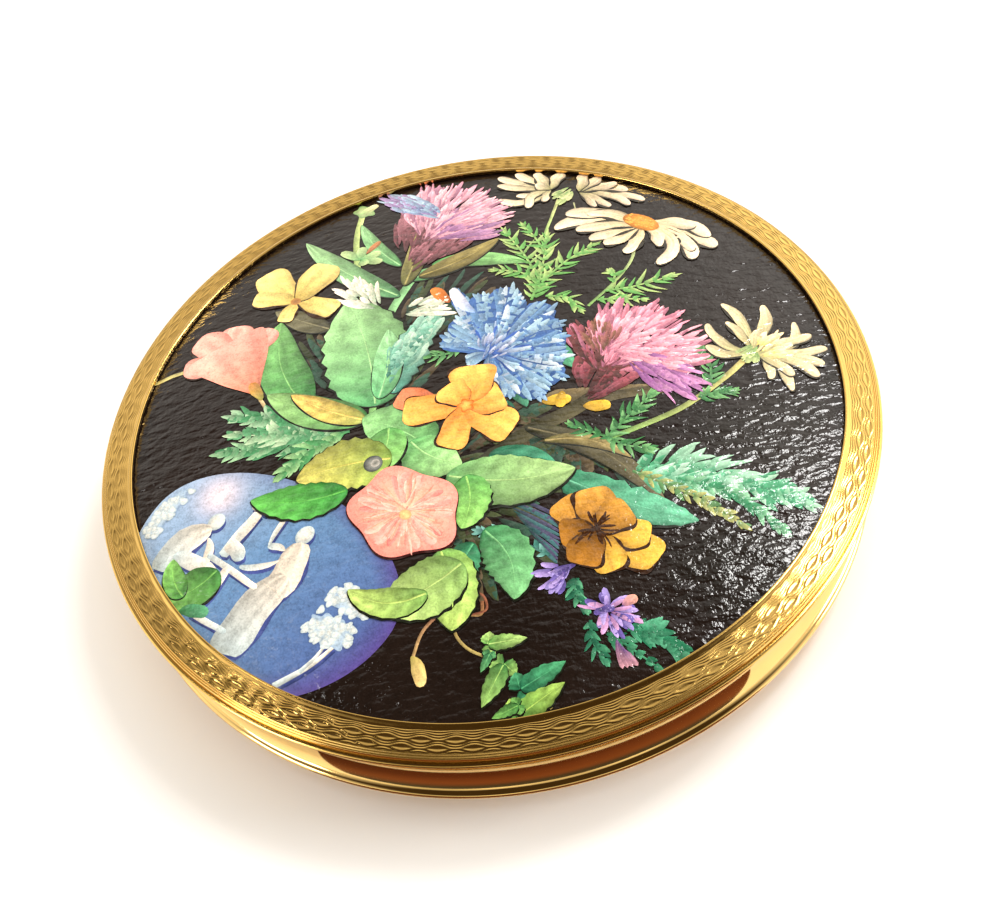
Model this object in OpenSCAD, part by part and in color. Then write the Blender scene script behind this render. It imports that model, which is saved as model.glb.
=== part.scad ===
// Round pill box: a thin hinged lid with a domed picture in an engine-turned bezel, over a shallow base.
// The box rests on Z = 0, its centre is on the Z axis, and its hinge is at the back, on +Y.

/* [Box] */
// Diameter over the bezel's outer edge
box_d = 50; // [48:0.5:56]
// Height of the base from the surface it rests on to the parting line
base_h = 6.4; // [6.2:0.1:7.5]
// Height of the rolled lip above the surface the box rests on
lip_z = 2.0; // [1.6:0.1:2.2]
// Thickness of the pressed sheet brass
sheet_t = 0.4; // [0.35:0.01:0.4]

/* [Lid] */
// Width of the bezel ring seen round the picture
bezel_w = 2.25; // [2.1:0.05:2.4]
// Rise of the picture's dome above its edge
dome_rise = 1.6; // [1:0.1:2.2]
// Depth that the lid's skirt drops into the base
skirt_drop = 1.5; // [1.2:0.1:1.6]
// Gap between the closed lid and the base
parting_gap = 0.1; // [0.08:0.01:0.12]

/* [Hinge] */
// Length of the hinge barrel
barrel_l = 13; // [12:0.5:14]
// Diameter of the hinge knuckles
knuckle_d = 1.5; // [1.4:0.05:1.5]
// Diameter of the hinge pin
pin_d = 0.8; // [0.7:0.05:0.8]
// Running clearance round the pin
pin_clear = 0.05; // [0.03:0.01:0.06]

/* [Tray] */
// Thickness of the tray's wall and of the divider
tray_t = 0.6; // [0.5:0.1:0.8]
// Number of compartments
compartments = 3; // [2:1:4]

/* [Hidden] */

$fn = 160;
eps = 0.01;
gilt = "#c9a13f";
satin_gilt = "#b8913c";

// Lid levels and radii
box_r = box_d / 2;
seat_z = base_h + 0.25;             // underside of the bezel, where the pan and the skirt sit
picture_r = box_r - bezel_w;        // the picture seen inside the bezel
tuck_r = picture_r + 0.65;          // edge of the picture layers, under the bezel's lip
tuck_gap = 0.05;                    // room round the picture layers inside the bezel
edge_z = base_h + 0.9;              // the picture's surface where the bezel's lip meets it
dome_r = (picture_r * picture_r + dome_rise * dome_rise) / (2 * dome_rise);
film_t = 0.15;
print_t = 0.1;
plate_t = 0.3;
bead_r = 0.16;                      // the fine bead at the bezel's outer edge
bead_z = base_h + 0.4;
seat_r = box_r - 0.66;              // the bezel's underside sits outside this radius

// Skirt and base wall
wall_r = box_r - 1.4;               // inside of the base's wall
skirt_out = wall_r - 0.2;
skirt_in = skirt_out - sheet_t;
band_top = base_h - parting_gap;
band_top_r = box_r - 0.5;
band_waist_r = box_r - 1.08;        // the narrowest part of the hollow-curved band
lip_r = 0.27;                       // the rolled lip
lip_c = box_r - 0.6;

// Base pan
foot_r = box_r - 2.8;
pan_rim_z = 3.6;

// Hinge
axis_y = box_r - 1.45;
axis_z = base_h - 0.9;
knuckle_r = knuckle_d / 2;
bore_r = pin_d / 2 + pin_clear;
knuckle_gap = 0.15;
knuckle_pitch = barrel_l / 5;       // five knuckles, the odd ones on the base
leaf_y = axis_y - 1.35;             // inner face of the base leaf
notch_half = barrel_l / 2 + 0.7;    // half-width of the opening in the band for the barrel
notch_z = 4.2;
cut_half = 9.5;                     // half-width of the gap in the skirt at the hinge
big = 2 * box_d;

// Tray
tray_r = box_r - 3.1;
tray_top = base_h - 0.5;
tray_flat_y = -(box_r - 3.5);       // flat front of the tray, behind the spring catch
tray_floor_z = sheet_t + tray_t;

// Catch
catch_angle = 14;                   // angle that the spring catch spans round the wall
keeper_angle = 16;

// Height of the picture dome's surface at radius r, at a depth under the top surface
function dome_z(r, depth) = edge_z + sqrt(pow(dome_r - depth, 2) - r * r) - sqrt(dome_r * dome_r - picture_r * picture_r);

// Points along the dome from the centre outwards
function dome_line(depth, steps) = [for (i = [0:steps]) let (r = tuck_r * i / steps) [r, dome_z(r, depth)]];

function reversed(points) = [for (i = [len(points) - 1:-1:0]) points[i]];

// Points of an arc about a centre, from one angle to another
function arc(centre, r, from, to, steps) =
    [for (i = [0:steps]) let (a = from + (to - from) * i / steps) centre + r * [cos(a), sin(a)]];

// One layer of the picture: a thin domed disc
module dome_layer(top_depth, thickness) {
    rotate_extrude()
        polygon(concat(dome_line(top_depth, 24), reversed(dome_line(top_depth + thickness, 24))));
}

// A strip that follows the wall at the front of the box, from a profile of radius and height
module front_strip(profile, angle) {
    rotate([0, 0, -90 - angle / 2]) rotate_extrude(angle = angle) polygon(profile);
}

// A knuckle's stretch along the hinge, counted from 0 at -X
module at_knuckle(i) {
    translate([-barrel_l / 2 + i * knuckle_pitch + knuckle_gap / 2, 0, 0]) children();
}

module knuckle() {
    translate([0, axis_y, axis_z]) rotate([0, 90, 0]) cylinder(r = knuckle_r, h = knuckle_pitch - knuckle_gap);
}

module pin_bore() {
    translate([-barrel_l, axis_y, axis_z]) rotate([0, 90, 0]) cylinder(r = bore_r, h = 2 * barrel_l);
}

// Room cut for the hinge: a box of a given half-width behind a given Y
module hinge_room(half_w, y, z) {
    translate([-half_w, y, z]) cube([2 * half_w, big, big]);
}

module bezel() {
    color(gilt) rotate_extrude() polygon(concat(
        [[picture_r, edge_z + 0.04], [picture_r, edge_z + 0.2], [picture_r + 0.06, edge_z + 0.28],
         [picture_r + 0.2, edge_z + 0.28], [picture_r + 0.26, edge_z + 0.17], [box_r - 0.55, edge_z + 0.12],
         [box_r - 0.35, edge_z - 0.05], [box_r - 0.22, edge_z - 0.3]],
        arc([box_r - bead_r, bead_z], bead_r, 90, -30, 10),
        [[box_r - 0.35, base_h], [seat_r, base_h], [seat_r, seat_z], [tuck_r + tuck_gap, seat_z],
         [tuck_r + tuck_gap, edge_z + 0.04]]));
}

module clear_film() {
    color("#20201e") dome_layer(0, film_t);
}

module picture_print() {
    color("#1b1718") dome_layer(film_t, print_t);
}

module picture_plate() {
    color("silver") dome_layer(film_t + print_t, plate_t);
}

module packing_card() {
    card_t = 0.5;
    color("#8a7a62") translate([0, 0, seat_z]) cylinder(r = picture_r - 6, h = card_t);
}

module lid_pan() {
    color(satin_gilt) difference() {
        translate([0, 0, seat_z - 0.35]) cylinder(r = skirt_in, h = 0.35);
        hinge_room(notch_half + 0.8, leaf_y + 0.4, 0);
    }
}

module lid_skirt() {
    color(satin_gilt) difference() {
        rotate_extrude() polygon([
            [skirt_in, base_h - skirt_drop], [skirt_out, base_h - skirt_drop], [skirt_out, base_h],
            [seat_r - 0.02, base_h], [seat_r - 0.02, seat_z], [skirt_in, seat_z]]);
        hinge_room(cut_half, 0, 0);
    }
}

module lid_hinge_leaf() {
    leaf_front = leaf_y + 0.45;
    color(gilt) difference() {
        union() {
            intersection() {
                translate([-barrel_l / 2, leaf_front, base_h]) cube([barrel_l, 2, seat_z - base_h]);
                cylinder(r = seat_r - 0.02, h = big);
            }
            for (i = [1, 3]) at_knuckle(i) {
                knuckle();
                translate([0, axis_y - 0.45, axis_z])
                    cube([knuckle_pitch - knuckle_gap, 0.9, base_h - axis_z + eps]);
            }
        }
        pin_bore();
    }
}

module keeper() {
    bar_r = skirt_in - 0.4;
    z = base_h - skirt_drop + 0.05;
    color(gilt) front_strip([[bar_r, z], [skirt_in, z], [skirt_in, z + 0.6], [bar_r + 0.15, z + 0.6]], keeper_angle);
}

module side_band() {
    waist_z = 4.1;
    color(gilt) difference() {
        rotate_extrude() polygon(concat(
            [[wall_r, lip_z], [lip_c, lip_z]],
            arc([lip_c, lip_z + lip_r], lip_r, -90, 80, 8),
            [for (i = [1:7]) let (t = i / 8) [
                band_waist_r + (lip_c - band_waist_r) * pow(1 - t, 2.2),
                lip_z + 2 * lip_r + (waist_z - lip_z - 2 * lip_r) * t]],
            [for (i = [0:8]) let (t = i / 8) [
                band_waist_r + (band_top_r - band_waist_r) * pow(t, 2),
                waist_z + (band_top - waist_z) * t]],
            [[wall_r, band_top]]));
        hinge_room(notch_half, 0, notch_z);
    }
}

module base_pan() {
    outer = concat([[0, 0], [foot_r - 0.3, 0]], arc([foot_r - 0.3, 0.6], 0.6, -75, -30, 3),
                   [[wall_r - 0.35, 1.55], [wall_r, lip_z], [wall_r, pan_rim_z]]);
    inner = [[wall_r - sheet_t, pan_rim_z], [wall_r - sheet_t, lip_z + 0.25], [wall_r - sheet_t - 0.3, 1.75],
             [foot_r - 0.05, 0.95], [foot_r - 0.3, sheet_t], [0, sheet_t]];
    color(satin_gilt) rotate_extrude() polygon(concat(outer, inner));
}

module base_hinge_leaf() {
    color(gilt) difference() {
        union() {
            intersection() {
                translate([-notch_half - 0.5, leaf_y, pan_rim_z])
                    cube([2 * notch_half + 1, sheet_t, base_h - 0.3 - pan_rim_z]);
                cylinder(r = wall_r, h = big);
            }
            for (i = [0, 2, 4]) at_knuckle(i) {
                knuckle();
                translate([0, leaf_y, axis_z - knuckle_r])
                    cube([knuckle_pitch - knuckle_gap, axis_y - leaf_y, knuckle_r]);
            }
        }
        pin_bore();
    }
}

module hinge_pin() {
    head_t = 0.2;
    color(satin_gilt) translate([0, axis_y, axis_z]) rotate([0, 90, 0]) {
        translate([0, 0, -barrel_l / 2]) cylinder(d = pin_d, h = barrel_l);
        for (side = [0, 1]) mirror([0, 0, side]) translate([0, 0, barrel_l / 2 - eps])
            cylinder(d1 = pin_d + 0.4, d2 = pin_d, h = head_t);
    }
}

module spring_catch() {
    rim_r = wall_r - sheet_t;
    strip_t = 0.25;
    arm_r = rim_r - 0.9;
    nose_z = base_h - 0.85;
    color(satin_gilt) front_strip([
        [rim_r - strip_t, 2.5], [rim_r, 2.5], [rim_r, 3.4], [arm_r + strip_t, 4.3], [arm_r + strip_t, nose_z],
        [arm_r + 0.4, nose_z + 0.12], [arm_r + strip_t, nose_z + 0.45], [arm_r, nose_z + 0.45], [arm_r, 4.2],
        [rim_r - strip_t, 3.3]], catch_angle);
}

// The tray's outline: a circle with a flat at the front
module tray_outline(r, y) {
    intersection() {
        circle(r);
        translate([-big / 2, y]) square(big);
    }
}

module tray() {
    flange = 0.3;
    flange_z = tray_top - 0.5;
    color("#efe6cf") difference() {
        union() {
            translate([0, 0, sheet_t]) linear_extrude(tray_top - sheet_t) tray_outline(tray_r, tray_flat_y);
            translate([0, 0, flange_z]) linear_extrude(tray_top - flange_z) tray_outline(tray_r + flange, tray_flat_y);
        }
        translate([0, 0, tray_floor_z]) linear_extrude(big) tray_outline(tray_r - tray_t, tray_flat_y + tray_t);
    }
}

module divider() {
    vane_h = tray_top - tray_floor_z - 0.2;
    reach = tray_r - tray_t - 0.05;
    color("#efe6cf") translate([0, 0, tray_floor_z]) {
        cylinder(r = 1.1, h = vane_h);
        for (i = [0:compartments - 1]) rotate([0, 0, 90 + i * 360 / compartments])
            translate([0, -tray_t / 2, 0]) cube([reach, tray_t, vane_h]);
    }
}

bezel();
clear_film();
picture_print();
picture_plate();
packing_card();
lid_pan();
lid_skirt();
lid_hinge_leaf();
keeper();
side_band();
base_pan();
base_hinge_leaf();
hinge_pin();
spring_catch();
tray();
divider();
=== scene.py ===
"""A round gilt pill box with a flower picture in its lid: its looks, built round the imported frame."""
import math
import random

import bmesh
import bpy
from mathutils import Matrix, Vector


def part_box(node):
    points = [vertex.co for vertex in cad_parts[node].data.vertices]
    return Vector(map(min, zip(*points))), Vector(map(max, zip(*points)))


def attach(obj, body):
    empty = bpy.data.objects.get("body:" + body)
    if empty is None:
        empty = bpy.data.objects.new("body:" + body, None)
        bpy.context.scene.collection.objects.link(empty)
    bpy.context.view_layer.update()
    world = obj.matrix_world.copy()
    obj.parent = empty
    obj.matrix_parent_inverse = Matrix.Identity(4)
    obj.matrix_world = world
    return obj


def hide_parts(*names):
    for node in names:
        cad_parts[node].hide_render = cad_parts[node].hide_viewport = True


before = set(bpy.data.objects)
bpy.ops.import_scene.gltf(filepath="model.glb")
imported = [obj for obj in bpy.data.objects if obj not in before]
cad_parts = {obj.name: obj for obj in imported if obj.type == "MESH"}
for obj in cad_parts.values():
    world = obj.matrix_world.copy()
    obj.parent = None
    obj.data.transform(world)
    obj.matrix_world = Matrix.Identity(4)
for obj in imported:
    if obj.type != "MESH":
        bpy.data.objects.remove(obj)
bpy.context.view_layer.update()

bl_info = {
    "name": "Gilt pill box",
    "version": (1, 0, 0),
    "blender": (4, 5, 0),
    "location": "3D View > Sidebar > Pill box",
    "description": "Builds a round pill box with an engine-turned bezel and a flower picture",
    "category": "Add Mesh",
}

MM = 0.001
FILM_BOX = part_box("clear_film")
BEZEL_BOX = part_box("bezel")
BAND_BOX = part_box("side_band")
TRAY_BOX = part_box("tray")
DIVIDER_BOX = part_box("divider")
BOX_R = BEZEL_BOX[1][0] / MM            # every length below is in millimetres until a vertex is placed
BASE_H = BEZEL_BOX[0][2] / MM           # underside of the bezel
CROWN_Z = FILM_BOX[1][2] / MM           # top of the dome
TUCK_R = FILM_BOX[1][0] / MM            # the film's edge, under the bezel's lip
PICTURE_R = TUCK_R - 0.65               # the part of the picture that shows
EDGE_Z = BASE_H + 0.9                   # height of the dome's edge
DOME_RISE = CROWN_Z - EDGE_Z
DOME_R = (PICTURE_R ** 2 + DOME_RISE ** 2) / (2 * DOME_RISE)
EDGE_UP = math.sqrt(DOME_R ** 2 - PICTURE_R ** 2)   # the dome's edge, from the middle of its sphere
PICTURE_TURN = math.radians(43)         # the picture's upright is turned this far from the hinge
PRINT_DEPTH = 0.085                     # the paper lies this far under the film's top
LAYER = 0.009                           # height of one layer of paint
DAB = 0.0002                            # height from one dab of paint to the next
LEAF_EDGE = "#141a12"                   # dark edge behind a leaf
CARD_NEAR, CARD_FAR = 0.026, 1.2        # inner and outer radius of the card of painted reflection and painted shade, in metres
CARD_START, CARD_SPREAD, CARD_STEPS = -39, 70, 24   # where the card begins and how far it turns, in degrees
CAMERA_AWAY, CAMERA_RIGHT, CAMERA_DOWN = 3.357, 0.050, 0.112    # camera from its aim, in box radii


# ---------------------------------------------------------------- small tools

def linear(colour):
    """A hex colour as linear red, green and blue."""
    parts = [int(colour[i:i + 2], 16) / 255 for i in (1, 3, 5)]
    return Vector([p / 12.92 if p <= 0.04045 else ((p + 0.055) / 1.055) ** 2.4 for p in parts])


def blend_of(a, b, t):
    return a.lerp(b, min(max(t, 0.0), 1.0))


def smooth_mesh(mesh, degrees=35.0):
    """Smooth shading, with edges sharper than the angle kept crisp."""
    mesh.polygons.foreach_set("use_smooth", [True] * len(mesh.polygons))
    mesh.set_sharp_from_angle(angle=math.radians(degrees))


def make_piece(name, bm, material, body, degrees=35.0):
    """Turns a bmesh into a piece that rides on a body."""
    mesh = bpy.data.meshes.new(name)
    bm.to_mesh(mesh)
    bm.free()
    smooth_mesh(mesh, degrees)
    mesh.materials.append(material)
    piece = bpy.data.objects.new(name, mesh)
    bpy.context.scene.collection.objects.link(piece)
    if body:
        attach(piece, body)
    return piece


def tidy(bm):
    bmesh.ops.remove_doubles(bm, verts=bm.verts, dist=1e-7)
    bmesh.ops.recalc_face_normals(bm, faces=bm.faces)


def lathe(bm, profile, steps, sectors=6):
    """Turns a closed profile of (radius, height) in mm round Z, one sector at a time."""
    verts = [bm.verts.new((r * MM, 0, z * MM)) for r, z in profile]
    edges = [bm.edges.new(pair) for pair in zip(verts, verts[1:] + verts[:1])]
    angle = 2 * math.pi / sectors
    bmesh.ops.spin(bm, geom=verts + edges, cent=(0, 0, 0), axis=(0, 0, 1), angle=angle,
                   steps=steps // sectors, use_merge=False, use_duplicate=False)
    first = list(bm.verts) + list(bm.edges) + list(bm.faces)
    for k in range(1, sectors):
        copy = bmesh.ops.duplicate(bm, geom=first)["geom"]
        moved = [item for item in copy if isinstance(item, bmesh.types.BMVert)]
        bmesh.ops.rotate(bm, verts=moved, cent=(0, 0, 0), matrix=Matrix.Rotation(angle * k, 3, "Z"))
    tidy(bm)


def arc(centre, radius, start, end, steps):
    """Points of an arc, with angles in degrees."""
    angles = [math.radians(start + (end - start) * i / steps) for i in range(steps + 1)]
    return [(centre[0] + radius * math.cos(a), centre[1] + radius * math.sin(a)) for a in angles]


# ---------------------------------------------------------------- materials

class Tree:
    """Adds nodes to a node tree and joins them."""

    def __init__(self, tree):
        self.tree = tree

    def join(self, out, into):
        self.tree.links.new(out, into)

    def fill(self, node, **settings):
        """Each setting is an input by its name, with _ for a space, or one of the node's own choices."""
        for key, value in settings.items():
            name = key.replace("_", " ")
            if name not in node.inputs:
                setattr(node, key, value)
            elif isinstance(value, bpy.types.NodeSocket):
                self.join(value, node.inputs[name])
            else:
                node.inputs[name].default_value = value
        return node

    def add(self, kind, **settings):
        return self.fill(self.tree.nodes.new(kind), **settings)


class Nodes(Tree):
    """The nodes of one material, with the blocks that the materials share."""

    def __init__(self, name):
        self.material = bpy.data.materials.new(name)
        self.material.use_nodes = True
        super().__init__(self.material.node_tree)
        self.shader = self.tree.nodes["Principled BSDF"]

    def coords(self, scale=(1, 1, 1), turn=0.0):
        """Object coordinates in millimetres, stretched and turned."""
        place = self.add("ShaderNodeTexCoord").outputs["Object"]
        sizes = [s / MM for s in scale]
        grid = self.add("ShaderNodeMapping", Scale=sizes, Rotation=(0, 0, turn), Vector=place)
        return grid.outputs["Vector"]

    def noise(self, vector, scale, detail=3.0, rough=0.5):
        node = self.add("ShaderNodeTexNoise", Scale=scale, Detail=detail, Roughness=rough, Vector=vector)
        return node.outputs["Fac"]

    def ramp(self, factor, stops):
        node = self.add("ShaderNodeValToRGB")
        marks = node.color_ramp.elements
        while len(marks) < len(stops):
            marks.new(0.5)
        for mark, (place, colour) in zip(marks, stops):
            mark.position = place
            mark.color = (*colour, 1)
        self.join(factor, node.inputs["Fac"])
        return node.outputs["Color"]

    def math(self, operation, a, b):
        node = self.add("ShaderNodeMath", operation=operation)
        for socket, value in zip(node.inputs, (a, b)):
            if isinstance(value, (int, float)):
                socket.default_value = value
            else:
                self.join(value, socket)
        return node.outputs[0]

    def span(self, factor, low, high):
        return self.add("ShaderNodeMapRange", To_Min=low, To_Max=high, Value=factor).outputs["Result"]

    def bump(self, height, strength, distance):
        node = self.add("ShaderNodeBump", Strength=strength, Distance=distance * MM, Height=height)
        self.join(node.outputs["Normal"], self.shader.inputs["Normal"])


def gilt(name, colour, rough, wear=0.06, grain=(1, 1, 1), scratch=0.25):
    """Gilt brass: tone drifts a little, with fine handling marks."""
    n = Nodes(name)
    tint = linear(colour)
    cloud = n.noise(n.coords(), 0.35, 3)
    tone = n.ramp(cloud, [(0.3, tint * 0.95), (0.55, tint), (0.75, tint * 1.03)])
    fine = n.noise(n.coords(grain), 6.0, 4, 0.7)
    gloss = n.span(fine, max(rough - wear, 0.02), rough + wear)
    n.fill(n.shader, Metallic=1.0, Base_Color=tone, Roughness=gloss)
    n.bump(fine, scratch, 0.004)
    return n.material


def moulded(name, colour, rough):
    """Moulded plastic with a soft gloss."""
    n = Nodes(name)
    tint = linear(colour)
    cloud = n.noise(n.coords(), 0.5, 3)
    tone = n.ramp(cloud, [(0.3, tint * 0.93), (0.7, tint)])
    fine = n.noise(n.coords(), 8.0, 3)
    n.fill(n.shader, Base_Color=tone, Roughness=n.span(fine, rough - 0.05, rough + 0.06),
           Subsurface_Weight=0.08, Subsurface_Radius=(0.001, 0.0008, 0.0005))
    n.bump(fine, 0.2, 0.004)
    return n.material


def card(name, colour):
    """Grey-brown packing card with short fibres."""
    n = Nodes(name)
    tint = linear(colour)
    fibre = n.noise(n.coords((1, 3, 1)), 3.0, 5, 0.7)
    tone = n.ramp(fibre, [(0.3, tint * 0.75), (0.6, tint), (0.8, tint * 1.2)])
    n.fill(n.shader, Base_Color=tone, Roughness=0.9)
    n.bump(fibre, 0.5, 0.03)
    return n.material


def printed_film(name, pitch, depth):
    """Colour print under a glossy film with a linen emboss. The paint attribute holds the print's colour."""
    n = Nodes(name)
    paint = n.add("ShaderNodeAttribute", attribute_name="paint")
    here = n.coords()
    brush = n.math("ADD", n.noise(here, 1.6, 5, 0.75), n.math("MULTIPLY", n.noise(here, 8.0, 2, 0.6), 0.8))
    mix = n.add("ShaderNodeVectorMath", operation="SCALE", Scale=n.span(brush, -0.15, 2.4))
    n.join(paint.outputs["Color"], mix.inputs[0])
    warm = n.add("ShaderNodeVectorMath", operation="MULTIPLY")
    warm.inputs[1].default_value = (0.69, 0.56, 0.53)
    n.join(mix.outputs[0], warm.inputs[0])
    n.fill(n.shader, Base_Color=warm.outputs[0], Roughness=0.07, IOR=1.5)
    threads = []
    for turn in (0.0, math.pi / 2):
        threads.append(n.noise(n.coords((1.0, 0.45, 1.0), PICTURE_TURN + turn), 1.0 / pitch, 1.5, 0.4))
    weave = n.math("MAXIMUM", threads[0], threads[1])
    grit = n.noise(here, 5.0, 2)
    n.bump(n.math("ADD", weave, n.math("MULTIPLY", grit, 0.2)), 1.0, depth)
    return n.material


# ---------------------------------------------------------------- settings

class PillBoxSettings(bpy.types.PropertyGroup):
    """Sizes and colours that a user would change."""

    gilt_colour: bpy.props.StringProperty(
        name="Polished gilt", description="Colour of the polished band", default="#f4cc80")
    bezel_colour: bpy.props.StringProperty(
        name="Bezel gilt", description="Colour of the engine-turned bezel", default="#ebc06c")
    inner_colour: bpy.props.StringProperty(
        name="Inner gilt", description="Colour of the satin gilt inside and underneath", default="#e0b05c")
    tray_colour: bpy.props.StringProperty(
        name="Tray", description="Colour of the moulded tray", default="#efe4c8")
    ground_colour: bpy.props.StringProperty(
        name="Picture ground", description="Colour behind the flowers", default="#17120f")
    wave_count: bpy.props.IntProperty(
        name="Waves", description="Repeats of the engine-turned waves round the bezel",
        default=78, min=40, max=120)
    groove_depth: bpy.props.FloatProperty(
        name="Groove depth", description="Depth of the engraved lines, in mm", default=0.026, min=0.0)
    emboss_pitch: bpy.props.FloatProperty(
        name="Emboss pitch", description="Pitch of the film's linen emboss, in mm", default=0.52, min=0.1)
    emboss_depth: bpy.props.FloatProperty(
        name="Emboss depth", description="Depth of the film's linen emboss, in mm", default=0.13, min=0.0)
    camera_height: bpy.props.FloatProperty(
        name="Camera elevation", description="Angle of the view above the table", default=math.radians(50.3),
        subtype="ANGLE")
    camera_roll: bpy.props.FloatProperty(
        name="Camera roll", description="Tilt of the camera about its own axis", default=math.radians(-12.2),
        subtype="ANGLE")
    camera_heading: bpy.props.FloatProperty(
        name="Camera heading", description="Compass angle of the camera, from +X towards +Y",
        default=math.radians(-2.0), subtype="ANGLE")
    camera_lens: bpy.props.FloatProperty(
        name="Lens", description="Focal length, in mm", default=46.8, min=10)


# ---------------------------------------------------------------- stage

class PILLBOX_OT_stage(bpy.types.Operator):
    """Floor, soft room light, lamps and camera"""
    bl_idname = "pillbox.stage"
    bl_label = "Stage"

    def execute(self, context):
        settings = context.scene.pill_box
        scene = context.scene
        scene.view_settings.view_transform = "Standard"
        self.floor()
        self.room(scene)
        self.lamps(scene)
        self.painted_shade_reflection_card()
        self.camera(scene, settings)
        return {"FINISHED"}

    def floor(self):
        n = Nodes("white paper")
        cloud = n.noise(n.coords(), 0.02, 2)
        tone = n.ramp(cloud, [(0.3, (0.95, 0.94, 0.92)), (0.7, (0.97, 0.96, 0.945))])
        n.fill(n.shader, Base_Color=tone, Roughness=0.7, Specular_IOR_Level=0.2)
        bm = bmesh.new()
        bmesh.ops.create_grid(bm, x_segments=2, y_segments=2, size=3.0)
        floor = make_piece("floor", bm, n.material, None)

    def room(self, scene):
        """A room that is pale round the sides and back, dim in front and dark overhead."""
        world = bpy.data.worlds.new("room")
        world.use_nodes = True
        scene.world = world
        sky = Tree(world.node_tree)
        place = sky.add("ShaderNodeTexCoord").outputs["Generated"]
        total = None
        # way each glow faces, where it fades in and is full (as a cosine), and its colour
        for aim, low, high, colour in (
            ((-1.0, 0.0, 0.25), 0.60, 0.95, (0.84, 0.81, 0.75)),
            ((-0.45, 0.55, 0.70), 0.82, 0.98, (0.75, 0.73, 0.68)),
            ((-0.55, 1.0, 0.35), 0.70, 0.97, (0.80, 0.78, 0.74)),
            ((-0.6, -1.0, 0.35), 0.75, 0.97, (0.60, 0.58, 0.54)),
            ((1.0, 0.0, 0.0), 0.88, 0.98, (0.70, 0.67, 0.60)),
            ((1.0, -0.6, 0.0), 0.88, 0.98, (0.60, 0.58, 0.52)),
            ((1.0, 0.6, 0.0), 0.88, 0.98, (0.60, 0.58, 0.52)),
            ((0.1, 1.0, 0.12), 0.60, 0.97, (1.00, 0.98, 0.94)),
            ((0.1, -1.0, 0.10), 0.60, 0.97, (0.90, 0.88, 0.84)),
        ):
            dot = sky.add("ShaderNodeVectorMath", operation="DOT_PRODUCT")
            dot.inputs[1].default_value = Vector(aim).normalized()
            sky.join(place, dot.inputs[0])
            lobe = sky.add("ShaderNodeMapRange", interpolation_type="SMOOTHSTEP", From_Min=low, From_Max=high,
                           Value=dot.outputs["Value"])
            tint = sky.add("ShaderNodeVectorMath", operation="SCALE", Scale=lobe.outputs["Result"])
            tint.inputs[0].default_value = colour
            add = sky.add("ShaderNodeVectorMath", operation="ADD")
            sky.join(tint.outputs[0], add.inputs[0])
            if total:
                sky.join(total, add.inputs[1])
            else:
                add.inputs[1].default_value = (0.055, 0.036, 0.016)     # faint warm light from all round
            total = add.outputs[0]
        sky.fill(world.node_tree.nodes["Background"], Color=total, Strength=1.0)

    def lamps(self, scene):
        """A soft overhead light that doesn't show in the polish, and two windows that do."""
        for name, spot, size, power, shows in (
            ("top_fill", (-0.02, 0.02, 0.7), 0.8, 2.65, False),
            ("window_high", (-0.11, 0.22, 0.37), 0.10, 0.8, True),
            ("high_left", (-0.10, -0.23, 0.40), 0.04, 0.07, True),
            ("window_right", (0.06, 0.42, 0.13), 0.16, 1.1, True),
            ("window_left", (0.16, -0.38, 0.13), 0.14, 0.7, True),
        ):
            lamp = bpy.data.lights.new(name, "AREA")
            lamp.size = size
            lamp.energy = power
            lamp.color = (1.0, 0.985, 0.96)
            held = bpy.data.objects.new(name, lamp)
            scene.collection.objects.link(held)
            held.location = spot
            held.rotation_euler = (-Vector(spot)).to_track_quat("-Z", "Y").to_euler()
            held.visible_glossy = shows

    def painted_shade_reflection_card(self):
        """A card on the table in front, seen only in the polish, coloured with painted reflection and painted
        shade: orange-brown near the box for the shaded floor and the gold's reflections of itself, darker
        further out.
        """
        n = Nodes("painted shade and reflection card")
        place = n.add("ShaderNodeTexCoord")
        far = n.add("ShaderNodeVectorMath", operation="LENGTH")
        n.join(place.outputs["Object"], far.inputs[0])
        reach = n.math("MULTIPLY", far.outputs["Value"], 10.0)
        # painted reflection and painted shade: orange-brown near the box, dark further out
        tone = n.ramp(reach, [(0.265, (0.10, 0.022, 0.004)), (0.32, (0.14, 0.034, 0.005)),
                              (0.40, (0.012, 0.007, 0.004))])
        n.fill(n.shader, Base_Color=tone, Roughness=0.9)
        bm = bmesh.new()
        pairs = []
        for k in range(CARD_STEPS + 1):
            angle = math.radians(CARD_START + CARD_SPREAD * k / CARD_STEPS)
            x, y = math.cos(angle), math.sin(angle)
            pairs.append([bm.verts.new((r * x, r * y, 0.0002)) for r in (CARD_NEAR, CARD_FAR)])
        for a, b in zip(pairs, pairs[1:]):
            bm.faces.new((a[0], a[1], b[1], b[0]))
        # a sheet that paints shade and reflection into the polished band
        piece = make_piece("painted_shade_reflection_card", bm, n.material, None)
        piece.visible_camera = False
        piece.visible_diffuse = False
        piece.visible_shadow = False

    def camera(self, scene, settings):
        up_angle, roll, heading = settings.camera_height, settings.camera_roll, settings.camera_heading
        away = Vector((math.cos(heading) * math.cos(up_angle), math.sin(heading) * math.cos(up_angle),
                       math.sin(up_angle)))
        right = Vector((-math.sin(heading), math.cos(heading), 0))
        up = away.cross(right)
        rolled_right = right * math.cos(roll) + up * math.sin(roll)
        rolled_up = up * math.cos(roll) - right * math.sin(roll)
        aim = Vector((0, 0, (BASE_H + 0.38) * MM))
        scale = BOX_R * MM
        spot = aim + scale * (CAMERA_AWAY * away + CAMERA_RIGHT * rolled_right - CAMERA_DOWN * rolled_up)
        data = bpy.data.cameras.new("camera")
        data.lens = settings.camera_lens
        data.clip_start = 0.001
        held = bpy.data.objects.new("camera", data)
        axes = Matrix((rolled_right, rolled_up, away)).transposed()
        held.matrix_world = Matrix.Translation(spot) @ axes.to_4x4()
        scene.collection.objects.link(held)
        scene.camera = held


# ---------------------------------------------------------------- metal pieces

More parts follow.
